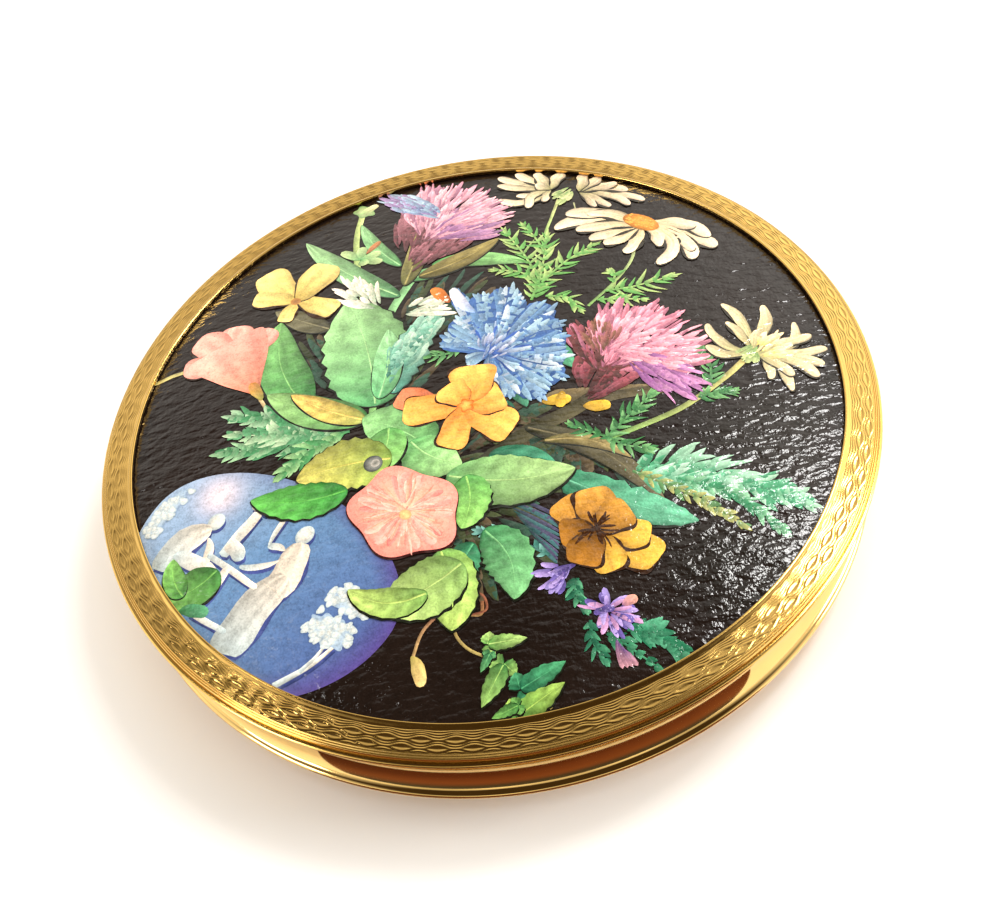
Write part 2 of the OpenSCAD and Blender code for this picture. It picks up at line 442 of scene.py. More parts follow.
def engraved(radius, angle, settings, start):
    """Depth of the engine turning at a place: wavy lines that part round two rows of lens-shaped eyes."""
    off = radius - start
    swing = math.cos(settings.wave_count * angle)
    depth = 0.0
    line_width, narrowest_eye = 0.036, 0.04
    # distance of each line from the first row of eyes, and how far it sways
    for place, sway in ((-0.56, -0.02), (-0.44, -0.05), (-0.31, -0.08), (-0.18, -0.10),
                        (0.18, 0.10), (0.31, 0.11), (0.66, -0.10), (0.78, -0.06)):
        gap = (off - place - sway * swing) / line_width
        depth += math.exp(-gap * gap)
    # the scooped eyes of the two rows, each row open where the other is shut
    for middle, open_at in ((0.0, 1), (0.485, -1)):
        wide = 0.06 + 0.12 * swing * open_at
        if wide > narrowest_eye:
            gap = (off - middle) / wide
            depth += 0.9 * math.exp(-gap * gap * 2)
    return min(depth, 1.0) * settings.groove_depth


class PILLBOX_OT_bezel(bpy.types.Operator):
    """Bezel ring: inner lip, engine-turned waves, fine ribs and a thin outer bead"""
    bl_idname = "pillbox.bezel"
    bl_label = "Bezel"

    def execute(self, context):
        settings = context.scene.pill_box
        low, high = PICTURE_R + 0.34, BOX_R - 0.6
        rows = 50
        inner = [(PICTURE_R, EDGE_Z + 0.04), (PICTURE_R, EDGE_Z + 0.2)]
        inner += arc((PICTURE_R + 0.06, EDGE_Z + 0.22), 0.06, 170, 80, 3)
        inner += [(PICTURE_R + 0.2, EDGE_Z + 0.27), (PICTURE_R + 0.26, EDGE_Z + 0.18)]
        band = [(low + (high - low) * i / rows, EDGE_Z + 0.17 - 0.04 * i / rows) for i in range(rows + 1)]
        ribs = []
        for k in range(3):
            ribs += arc((high + 0.07 + 0.11 * k, EDGE_Z + 0.075 - 0.075 * k), 0.045, 140, -10, 3)
        bead = arc((BOX_R - 0.16, BASE_H + 0.4), 0.16, 110, -30, 7)
        under = [(BOX_R - 0.35, BASE_H), (BOX_R - 0.66, BASE_H), (BOX_R - 0.66, BASE_H + 0.25),
                 (TUCK_R + 0.05, BASE_H + 0.25), (TUCK_R + 0.05, EDGE_Z + 0.04)]
        bm = bmesh.new()
        lathe(bm, inner + band + ribs + [(BOX_R - 0.24, EDGE_Z - 0.28)] + bead + under,
              settings.wave_count * 14)
        for vert in bm.verts:
            radius = math.hypot(vert.co.x, vert.co.y) / MM
            if low - 0.01 < radius < high + 0.01 and vert.co.z > (EDGE_Z + 0.1) * MM:
                angle = math.atan2(vert.co.y, vert.co.x)
                vert.co.z -= engraved(radius, angle, settings, PICTURE_R + 0.95) * MM
        metal = gilt("engine-turned gilt", settings.bezel_colour, 0.16, 0.06, scratch=0.5)
        piece = make_piece("bezel_ring", bm, metal, "lid", 60)
        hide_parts("bezel")
        return {"FINISHED"}


class PILLBOX_OT_band(bpy.types.Operator):
    """Polished hollow-curved side band with its rolled lip, open at the back for the hinge"""
    bl_idname = "pillbox.band"
    bl_label = "Side band"

    def execute(self, context):
        settings = context.scene.pill_box
        lip_z = BAND_BOX[0][2] / MM
        top = BAND_BOX[1][2] / MM
        wall, waist, top_r, lip_c, lip_r = BOX_R - 1.4, BOX_R - 1.08, BOX_R - 0.5, BOX_R - 0.6, 0.27
        waist_z = 4.1
        low_z = lip_z + 2 * lip_r
        lip = arc((lip_c, lip_z + lip_r), lip_r, -90, 80, 14)
        steps = 16
        rise = []
        for i in range(1, steps):
            t = i / steps
            rise.append((waist + (lip_c - waist) * (1 - t) ** 2.2, low_z + (waist_z - low_z) * t))
        for i in range(steps + 1):
            t = i / steps
            rise.append((waist + (top_r - waist) * t ** 2, waist_z + (top - waist_z) * t))
        profile = [(wall, lip_z)] + lip + rise + [(wall, top)]
        bm = bmesh.new()
        lathe(bm, profile, 252)
        metal = gilt("polished gilt", settings.gilt_colour, 0.09, 0.03, scratch=0.12)
        piece = make_piece("side_band_polished", bm, metal, None)
        self.cut_hinge_room(piece)
        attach(piece, "base")
        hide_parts("side_band")
        return {"FINISHED"}

    def cut_hinge_room(self, piece):
        """Takes out the opening for the hinge barrel."""
        half, bottom, deep = 7.2, 4.2, 6
        bm = bmesh.new()
        bmesh.ops.create_cube(bm, size=1.0)
        bmesh.ops.scale(bm, verts=bm.verts, vec=(2 * half * MM, deep * MM, deep * MM))
        bmesh.ops.translate(bm, verts=bm.verts, vec=(0, BOX_R * MM, (bottom + deep / 2) * MM))
        mesh = bpy.data.meshes.new("cutter")
        bm.to_mesh(mesh)
        bm.free()
        cutter = bpy.data.objects.new("cutter", mesh)
        bpy.context.scene.collection.objects.link(cutter)
        cut = piece.modifiers.new("hinge room", "BOOLEAN")
        cut.operation = "DIFFERENCE"
        cut.object = cutter
        cut.solver = "EXACT"
        shown = piece.evaluated_get(bpy.context.evaluated_depsgraph_get())
        result = bpy.data.meshes.new_from_object(shown)
        piece.modifiers.clear()
        piece.data = result
        bpy.data.objects.remove(cutter)
        smooth_mesh(result, 35)


class PILLBOX_OT_fittings(bpy.types.Operator):
    """Finishes of the pieces whose shape comes straight from the frame"""
    bl_idname = "pillbox.fittings"
    bl_label = "Inner fittings"

    def execute(self, context):
        settings = context.scene.pill_box
        satin = gilt("satin gilt", settings.inner_colour, 0.3, 0.08, (1, 8, 1), 0.4)
        hinge = gilt("hinge brass", "#c08a3a", 0.28, 0.08)
        steel = gilt("spring steel", "#a8a59c", 0.3, 0.08)
        tin = gilt("tin plate", "#b9bab8", 0.35, 0.1)
        finish = {
            "lid_pan": satin, "lid_skirt": satin, "base_pan": satin,
            "lid_hinge_leaf": hinge, "base_hinge_leaf": hinge, "hinge_pin": hinge, "keeper": hinge,
            "spring_catch": steel, "picture_plate": tin, "packing_card": card("packing card", "#8a7458"),
        }
        for node, material in finish.items():
            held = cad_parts[node]
            held.data.materials.clear()
            held.data.materials.append(material)
        return {"FINISHED"}


class PILLBOX_OT_tray(bpy.types.Operator):
    """Moulded tray with a rounded rim, and the three-way divider that stands in it"""
    bl_idname = "pillbox.tray"
    bl_label = "Tray and divider"

    def execute(self, context):
        ivory = moulded("ivory tray", context.scene.pill_box.tray_colour, 0.32)
        flange, wall_t = 0.3, 0.6
        flat = TRAY_BOX[0][1] / MM
        wall_r = TRAY_BOX[1][0] / MM - flange
        inner_r = wall_r - wall_t
        self.tray(ivory, wall_r, inner_r, flange, flat, TRAY_BOX[0][2] / MM, TRAY_BOX[1][2] / MM)
        self.divider(ivory, inner_r - 0.05, wall_t, DIVIDER_BOX[0][2] / MM, DIVIDER_BOX[1][2] / MM)
        return {"FINISHED"}

    def tray(self, ivory, wall_r, inner_r, flange, flat, low, top):
        floor = low + wall_r - inner_r
        rim_r = wall_r + flange
        rows = [(wall_r - 0.3, low), (wall_r - 0.09, low + 0.09), (wall_r, low + 0.3), (wall_r, top - 0.5),
                (rim_r - 0.1, top - 0.5), (rim_r, top - 0.4), (rim_r, top - 0.14), (rim_r - 0.04, top - 0.04),
                (rim_r - 0.14, top), (inner_r + 0.2, top), (inner_r + 0.06, top - 0.06), (inner_r, top - 0.2),
                (inner_r, floor + 0.3), (inner_r - 0.09, floor + 0.09), (inner_r - 0.3, floor)]
        bm = bmesh.new()
        turn = bm.verts.layers.float.new("turn")
        ring = bmesh.ops.create_circle(bm, cap_ends=True, segments=240, radius=1.0)["verts"]
        for vert in ring:
            vert[turn] = math.atan2(vert.co.y, vert.co.x)
        edges = list(bm.edges)
        for i, (radius, z) in enumerate(rows):
            if i:
                grown = bmesh.ops.extrude_edge_only(bm, edges=edges)["geom"]
                ring = [item for item in grown if isinstance(item, bmesh.types.BMVert)]
                edges = [item for item in grown if isinstance(item, bmesh.types.BMEdge)]
            # a flat at the front leaves room for the spring catch
            front = flat + max(wall_r - radius, 0.0)
            for vert in ring:
                x, y = radius * math.cos(vert[turn]), radius * math.sin(vert[turn])
                vert.co = Vector((x, max(y, front), z)) * MM
        bmesh.ops.edgeloop_fill(bm, edges=edges)
        bm.verts.layers.float.remove(turn)
        tidy(bm)
        piece = make_piece("tray_moulded", bm, ivory, "base")
        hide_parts("tray")

    def divider(self, ivory, reach, thick, low, top):
        bm = bmesh.new()
        tall = top - low
        hub = bmesh.ops.create_cone(bm, cap_ends=True, segments=48, radius1=1.1 * MM, radius2=1.1 * MM,
                                    depth=tall * MM)["verts"]
        shapes = [(hub, 0.0)]
        for k in range(3):
            vane = bmesh.ops.create_cube(bm, size=1.0)["verts"]
            bmesh.ops.scale(bm, verts=vane, vec=(reach * MM, thick * MM, tall * MM))
            bmesh.ops.translate(bm, verts=vane, vec=(reach / 2 * MM, 0, 0))
            shapes.append((vane, math.radians(90 + 120 * k)))
        upper = []
        for verts, angle in shapes:
            bmesh.ops.rotate(bm, verts=verts, cent=(0, 0, 0), matrix=Matrix.Rotation(angle, 3, "Z"))
            bmesh.ops.translate(bm, verts=verts, vec=(0, 0, (low + top) / 2 * MM))
            upper += [v for v in verts if v.co.z > (low + tall / 2) * MM]
        rim = [edge for edge in bm.edges if edge.verts[0] in upper and edge.verts[1] in upper]
        bmesh.ops.bevel(bm, geom=rim, offset=0.18 * MM, segments=3, profile=0.5, affect="EDGES", material=-1)
        bmesh.ops.recalc_face_normals(bm, faces=bm.faces)
        piece = make_piece("divider_moulded", bm, ivory, "base")
        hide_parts("divider")


# ---------------------------------------------------------------- picture

def on_dome(x, y, height):
    """A place in the upright picture, in mm, as a point on the turned dome."""
    radius = math.hypot(x, y)
    limit = TUCK_R - 0.1
    if radius > limit:
        x, y, radius = x * limit / radius, y * limit / radius, limit
    z = EDGE_Z - PRINT_DEPTH + height + math.sqrt(DOME_R ** 2 - radius ** 2) - EDGE_UP
    c, s = math.cos(PICTURE_TURN), math.sin(PICTURE_TURN)
    return Vector(((x * c - y * s) * MM, (x * s + y * c) * MM, z * MM))


def disc(t, s):
    """The place on a round patch, of radius 1, for t in 0..1 and s in -1..1."""
    u = t * 2 - 1
    return u * math.sqrt(1 - s * s / 2), s * math.sqrt(1 - u * u / 2)


def left_of(line):
    """A unit vector that points to the left of a line."""
    return Vector((-line.y, line.x)).normalized()


class Painting:
    """One printed motif: dabs of paint that lie on the dome, each a little above the last."""

    def __init__(self, layer, seed):
        self.bm = bmesh.new()
        self.paint = self.bm.verts.layers.float_color.new("paint")
        self.height = layer * LAYER
        self.chance = random.Random(seed)

    def jitter(self, size):
        return self.chance.uniform(-size, size)

    def grid(self, rows, cols, place, rise=DAB):
        """A patch of rows by cols. place gives a vertex its spot and colour from t (0..1) and s (-1..1)."""
        self.height += rise
        made = bmesh.ops.create_grid(self.bm, x_segments=rows, y_segments=cols, size=1.0)["verts"]
        for vert in made:
            x, y, colour = place((vert.co.x + 1) / 2, vert.co.y)
            vert[self.paint] = (max(colour[0], 0), max(colour[1], 0), max(colour[2], 0), 1.0)
            vert.co = on_dome(x, y, self.height)

    def dab(self, start, end, width, base, tip, bend=0.0, form=(0.6, 0.4), light=0.25, streak=0.15,
            grooves=0.0, veins=0, teeth=(0, 0.0), rows=9, cols=4, rim=0.0, wobble=0.08, rise=DAB):
        """A brush-shaped dab from start to end. form sets how fast it widens and how blunt it ends."""
        start, end = Vector(start), Vector(end)
        line = end - start
        length = max(line.length, 1e-6)
        side = Vector((-line.y, line.x)) / length
        base, tip = linear(base), linear(tip)
        peak = form[0] / (form[0] + form[1])
        top = peak ** form[0] * (1 - peak) ** form[1]
        gain = 1 + self.jitter(0.1)
        turns = [self.chance.uniform(0, 6.28) for _ in range(4)]

        def place(t, s):
            t = 0.5 - 0.5 * math.cos(math.pi * t)
            reach = max(t, 0.0) ** form[0] * max(1 - t, 0.0) ** form[1] / top
            half = width / 2 * reach
            half *= 1 + wobble * math.sin(9 * t + turns[0] + (2 if s > 0 else 0)) * abs(s)
            if teeth[0]:
                half *= 1 + teeth[1] * (abs((t * teeth[0]) % 1 - 0.5) * 2 - 0.5) * abs(s)
            centre = start + line * t + side * (bend * length * 4 * t * (1 - t))
            lean = side - line / length * (bend * 4 * (1 - 2 * t))
            spot = centre + lean.normalized() * half * s
            factor = gain * (1 + light * s - rim * max(0.0, abs(s) - 0.6) / 0.4)
            factor *= 1 + streak * math.sin(7 * s + turns[1] + 3 * t) * math.sin(4 * t + turns[2])
            if grooves:
                factor *= 1 - grooves * (0.5 + 0.5 * math.cos(math.pi * 4 * s + turns[3])) * (1.1 - t)
            if veins and abs(s) > 0.12:
                factor *= 1 + 0.2 * math.cos(2 * math.pi * (t * veins - abs(s) * 0.7))
            return spot.x, spot.y, blend_of(base, tip, t ** 0.8) * factor

        self.grid(rows, cols, place, rise)

    def spot(self, centre, size, inner, outer, turn=0.0, waves=(0, 0.0, 0.0), light=(0.0, 0.0), cells=12,
             streak=0.0):
        """A round or oval patch, shaded from its middle outwards and across towards the light."""
        inner, outer = linear(inner), linear(outer)
        c, s = math.cos(turn), math.sin(turn)

        def place(t, across):
            px, py = disc(t, across)
            radius = math.hypot(px, py)
            angle = math.atan2(py, px)
            grow = 1 + waves[1] * math.cos(waves[0] * angle + waves[2]) * radius
            x, y = px * size[0] * grow, py * size[1] * grow
            colour = blend_of(inner, outer, radius ** 1.2)
            factor = 1 + light[0] * px + light[1] * py + self.jitter(streak)
            return centre[0] + x * c - y * s, centre[1] + x * s + y * c, colour * factor

        self.grid(cells, cells, place)

    def stem(self, points, width, base, tip, taper=0.5):
        """A thin stalk along a smooth line through the points."""
        points = [Vector(p) for p in points]
        path = [points[0] * 2 - points[1]] + points + [points[-1] * 2 - points[-2]]
        base, tip = linear(base), linear(tip)
        spans = len(points) - 1

        def at(t):
            k = min(int(t * spans), spans - 1)
            u = t * spans - k
            a, b, c, d = path[k:k + 4]
            return 0.5 * ((2 * b) + (c - a) * u + (2 * a - 5 * b + 4 * c - d) * u * u
                          + (3 * b - a - 3 * c + d) * u ** 3)

        def place(t, s):
            here = at(t)
            ahead = at(min(t + 0.01, 1.0)) - at(max(t - 0.01, 0.0))
            side = left_of(ahead)
            spot = here + side * s * width / 2 * (1 - (1 - taper) * t)
            return spot.x, spot.y, blend_of(base, tip, t) * (1 + 0.35 * s + 0.15 * math.sin(20 * t))

        self.grid(8 * spans, 2, place)
        return at

    def leaf(self, start, end, width, light, dark, bend=0.0, veins=5, form=(0.55, 0.75), teeth=(0, 0.0),
             rib=0.13, shade=0.07):
        """A leaf with a dark edge behind it, side veins, a lit half and a pale midrib."""
        start, end = Vector(start), Vector(end)
        line = end - start
        side = left_of(line)
        drop = Vector((shade, -shade))
        self.dab(start + drop, end + line.normalized() * shade + drop, width * 1.06, LEAF_EDGE, LEAF_EDGE,
                 bend, form, 0, 0, rows=24, cols=8, teeth=teeth, wobble=0)
        self.dab(start, end, width, dark, light, bend, form, light=0.3, veins=veins, rows=24, cols=8,
                 teeth=teeth, streak=0.22, rim=0.2, wobble=0.04, rise=DAB * 4)
        middle = [start + line * t + side * bend * line.length * 4 * t * (1 - t)
                  for t in (0.02, 0.3, 0.6, 0.93)]
        self.stem(middle, rib, light, light, 0.3)

    def plume(self, points, count, reach, width, base, tip, splay=42, spare=0.3, form=(0.25, 0.95),
              stalk=0.2):
        """A feathered leaf: a stalk with spiky leaflets on both sides."""
        at = self.stem(points, stalk, base, tip)
        for k in range(count):
            t = 0.06 + 0.92 * k / max(count - 1, 1)
            root = at(t)
            ahead = (at(min(t + 0.02, 1.0)) - at(max(t - 0.02, 0.0))).normalized()
            size = reach * math.sin(math.pi * (0.2 + 0.7 * t)) ** 0.8
            for hand in (-1, 1):
                angle = math.radians(splay * (1 - 0.4 * t) + self.jitter(14)) * hand
                way = Matrix.Rotation(angle, 2) @ ahead
                long = size * (1 + self.jitter(spare))
                tone = tip if self.chance.random() < 0.6 else base
                self.dab(root, root + way * long, width * (1 + self.jitter(0.3)), base, tone,
                         self.jitter(0.12), form, light=0.25, rows=4, cols=2, rise=DAB / 8)
        self.dab(at(0.93), at(1.0) + (at(1.0) - at(0.95)).normalized() * reach * 0.5, width, base, tip,
                 form=form, rows=4, cols=2)

    def fluff(self, root, centre, size, count, long, width, tones, bend=0.1, edge=0.25):
        """A ragged mass of fine strokes that stream away from a root, the outer ones lying lowest."""
        root, centre = Vector(root), Vector(centre)
        spots = []
        for _ in range(count):
            u, angle = math.sqrt(self.chance.random()), self.chance.uniform(0, 2 * math.pi)
            spots.append((u, centre + Vector((size[0] * u * math.cos(angle), size[1] * u * math.sin(angle)))))
        spots.sort(key=lambda item: -item[0])
        for u, spot in spots:
            way = (spot - root).normalized()
            base, tip = self.chance.choice(tones)
            reach = long * (1 + self.jitter(0.35))
            self.dab(spot - way * reach * 0.6, spot + way * reach * (0.4 + edge * u),
                     width * (1 + self.jitter(0.4)), base, tip, self.jitter(bend), (0.6, 0.5),
                     light=0.2, rows=5, cols=2, rise=DAB / 10)

    def floret(self, root, tip_at, spread, count, width, dark, tones):
        """A ragged floret: a dark wedge with pointed strokes that open towards the tip."""
        root, tip_at = Vector(root), Vector(tip_at)
        line = tip_at - root
        self.dab(root, root + line * 0.92, spread * 1.15, dark, dark, 0, (0.9, 0.3), rows=8, cols=4,
                 teeth=(7, 0.3))
        side = left_of(line)
        for k in range(count):
            share = k / max(count - 1, 1) * 2 - 1
            end = root + line * (1 - 0.16 * abs(share) + self.jitter(0.07)) + side * spread * 0.5 * share
            self.dab(root + line * 0.08, end, width, dark, self.chance.choice(tones),
                     self.jitter(0.08) - 0.06 * share, (0.9, 0.5), rows=8, cols=2, streak=0.2, rise=DAB / 4)

    def finish(self, name):
        return make_piece(name, self.bm, printed(), "lid", 180)


class PILLBOX_OT_picture_ground(bpy.types.Operator):
    """The domed, embossed, near-black ground that every flower is printed on"""
    bl_idname = "pillbox.picture_ground"
    bl_label = "Picture ground"

    def execute(self, context):
        settings = context.scene.pill_box
        art = Painting(0, 1)
        dark = linear(settings.ground_colour)
        reach = TUCK_R - 0.05

        def place(t, s):
            px, py = disc(t, s)
            x, y = px * reach, py * reach
            return x, y, dark * (1 + 0.2 * math.sin(x * 0.4) * math.sin(y * 0.33))

        art.height = -DAB
        art.grid(120, 120, place)
        piece = art.finish("picture_ground")
        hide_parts("clear_film", "picture_print")
        return {"FINISHED"}


def printed():
    """The one print material that every motif shares."""
    found = bpy.data.materials.get("printed film")
    if found:
        return found
    settings = bpy.context.scene.pill_box
    return printed_film("printed film", settings.emboss_pitch, settings.emboss_depth)


class PILLBOX_OT_vase(bpy.types.Operator):
    """Blue vase with its pale relief of trees, a pillar and two robed figures"""
    bl_idname = "pillbox.vase"
    bl_label = "Vase"

    def execute(self, context):
        art = Painting(1, 2)
        pale, mid, deep, violet = linear("#8aacc8"), linear("#5680a8"), linear("#40588e"), linear("#4a4284")
        centre = Vector((-3.4, -16.9))
        half_width, above, below = 9.45, 5.6, 8.2

        def place(t, s):
            px, py = disc(t, s)
            tall = above if py > 0 else below
            across = (px + 1) / 2 - 0.12 * py
            colour = blend_of(pale, mid, across * 2.2)
            if across >= 0.45:
                colour = blend_of(mid, deep, across * 1.8 - 0.8)
            edge = max(0.0, math.hypot(px, py) - 0.8) / 0.2
            colour = blend_of(colour, violet, edge * (0.5 + 0.5 * px))
            colour = colour * (1 - 0.3 * max(0.0, py - 0.5))
            glow = math.exp(-((px + 0.64) ** 2 / 0.02 + (py - 0.42) ** 2 / 0.06))
            colour = blend_of(colour, linear("#d3d0d6"), glow * 0.85)
            return centre.x + px * half_width, centre.y + py * tall, colour * (1 + art.jitter(0.05))

        art.grid(60, 60, place)
        art.finish("vase")
        self.relief()
        return {"FINISHED"}

    def relief(self):
        art = Painting(2, 3)
        chalk, ice, shade = "#d8dccc", "#9cb8bc", "#34447c"
        for shift, light, dark in (((0.2, -0.15), shade, shade), ((0, 0), chalk, ice)):
            def at(x, y):
                return (x + shift[0], y + shift[1])
            # pillar on a plinth
            art.dab(at(-6.3, -17.8), at(-6.2, -14.3), 0.75, dark, light, form=(0.05, 0.05), cols=3)
            art.dab(at(-6.9, -14.1), at(-5.6, -14.1), 0.45, light, light, form=(0.1, 0.1), cols=2)
            art.dab(at(-6.6, -16.9), at(-5.0, -17.5), 1.0, light, dark, 0.1, (0.2, 0.3), cols=3)
            # seated figure: head, curved back, lap and legs
            art.spot(at(-8.3, -16.1), (0.55, 0.62), light, dark, light=(0.1, 0.2), cells=8)
            art.dab(at(-8.2, -16.6), at(-9.1, -20.4), 2.1, light, dark, -0.16, (0.4, 0.2), cols=6,
                    grooves=0.4)
            art.dab(at(-8.0, -17.2), at(-6.9, -18.9), 0.6, light, light, 0.12, cols=2)
            art.dab(at(-9.2, -19.2), at(-5.7, -19.1), 1.1, dark, light, 0.06, (0.3, 0.3), cols=4)
            art.dab(at(-6.2, -19.0), at(-6.9, -21.6), 0.9, light, dark, 0.0, (0.2, 0.2), cols=3)
            # standing figure: head, torso, robe and raised arm
            art.spot(at(-2.5, -14.2), (0.55, 0.68), light, dark, light=(-0.1, 0.2), cells=8)
            art.dab(at(-2.4, -14.7), at(-1.7, -18.4), 2.0, light, light, 0.06, (0.3, 0.2), cols=6,
                    grooves=0.35)
            art.dab(at(-1.7, -16.9), at(-1.9, -22.6), 2.5, light, dark, -0.05, (0.3, 0.15), rows=12, cols=8,
                    grooves=0.5)
            art.dab(at(-2.9, -15.6), at(-4.1, -15.9), 0.5, light, dark, -0.1, cols=2)
            art.dab(at(-4.0, -16.0), at(-4.4, -13.2), 0.36, dark, light, 0.05, cols=2)
            art.dab(at(-2.8, -16.3), at(-4.8, -17.8), 0.45, light, dark, 0.1, cols=2)
            # table between them
            art.dab(at(-7.2, -18.1), at(-2.8, -18.4), 0.42, dark, light, 0.0, (0.05, 0.05), cols=2)
            art.dab(at(-5.4, -18.2), at(-5.4, -21.4), 0.6, light, dark, 0.05, (0.1, 0.1), cols=2)
            art.dab(at(-5.6, -21.6), at(-2.6, -21.5), 0.4, light, dark, 0.0, (0.1, 0.1), cols=2)
            # trunks of the round-headed trees
            art.stem([at(2.1, -22.6), at(3.2, -20.6), at(3.7, -19.0)], 0.4, dark, light)
            art.stem([at(2.9, -21.2), at(3.2, -19.6), at(2.9, -17.4)], 0.26, dark, light)
        for middle, wide, count in (((2.8, -16.3), (1.35, 0.75), 34), ((2.9, -18.4), (1.5, 0.9), 40),
                                    ((-11.9, -17.0), (0.55, 1.9), 44)):
            art.spot(middle, wide, "#a8c4cc", "#88aac4", cells=16, waves=(9, 0.12, 0))
            for _ in range(count):
                x, y = middle[0] + art.jitter(wide[0]), middle[1] + art.jitter(wide[1])
                art.spot((x, y), (0.3, 0.22), "#c8d8d0", "#a0bcc4", cells=5, turn=x * 3, waves=(3, 0.15, x))
        art.finish("vase_relief")
        art = Painting(3, 4)
        art.leaf((-5.9, -18.6), (-7.6, -21.9), 2.6, "#63a052", "#2f6a34", 0.1)
        art.leaf((-6.6, -21.0), (-9.0, -19.4), 1.5, "#6fae58", "#3a7a3c", 0.1)
        art.dab((-6.2, -21.9), (-4.4, -21.2), 0.9, "#2f6a3c", "#4f9a70", 0.1)
        art.finish("vase_leaf")


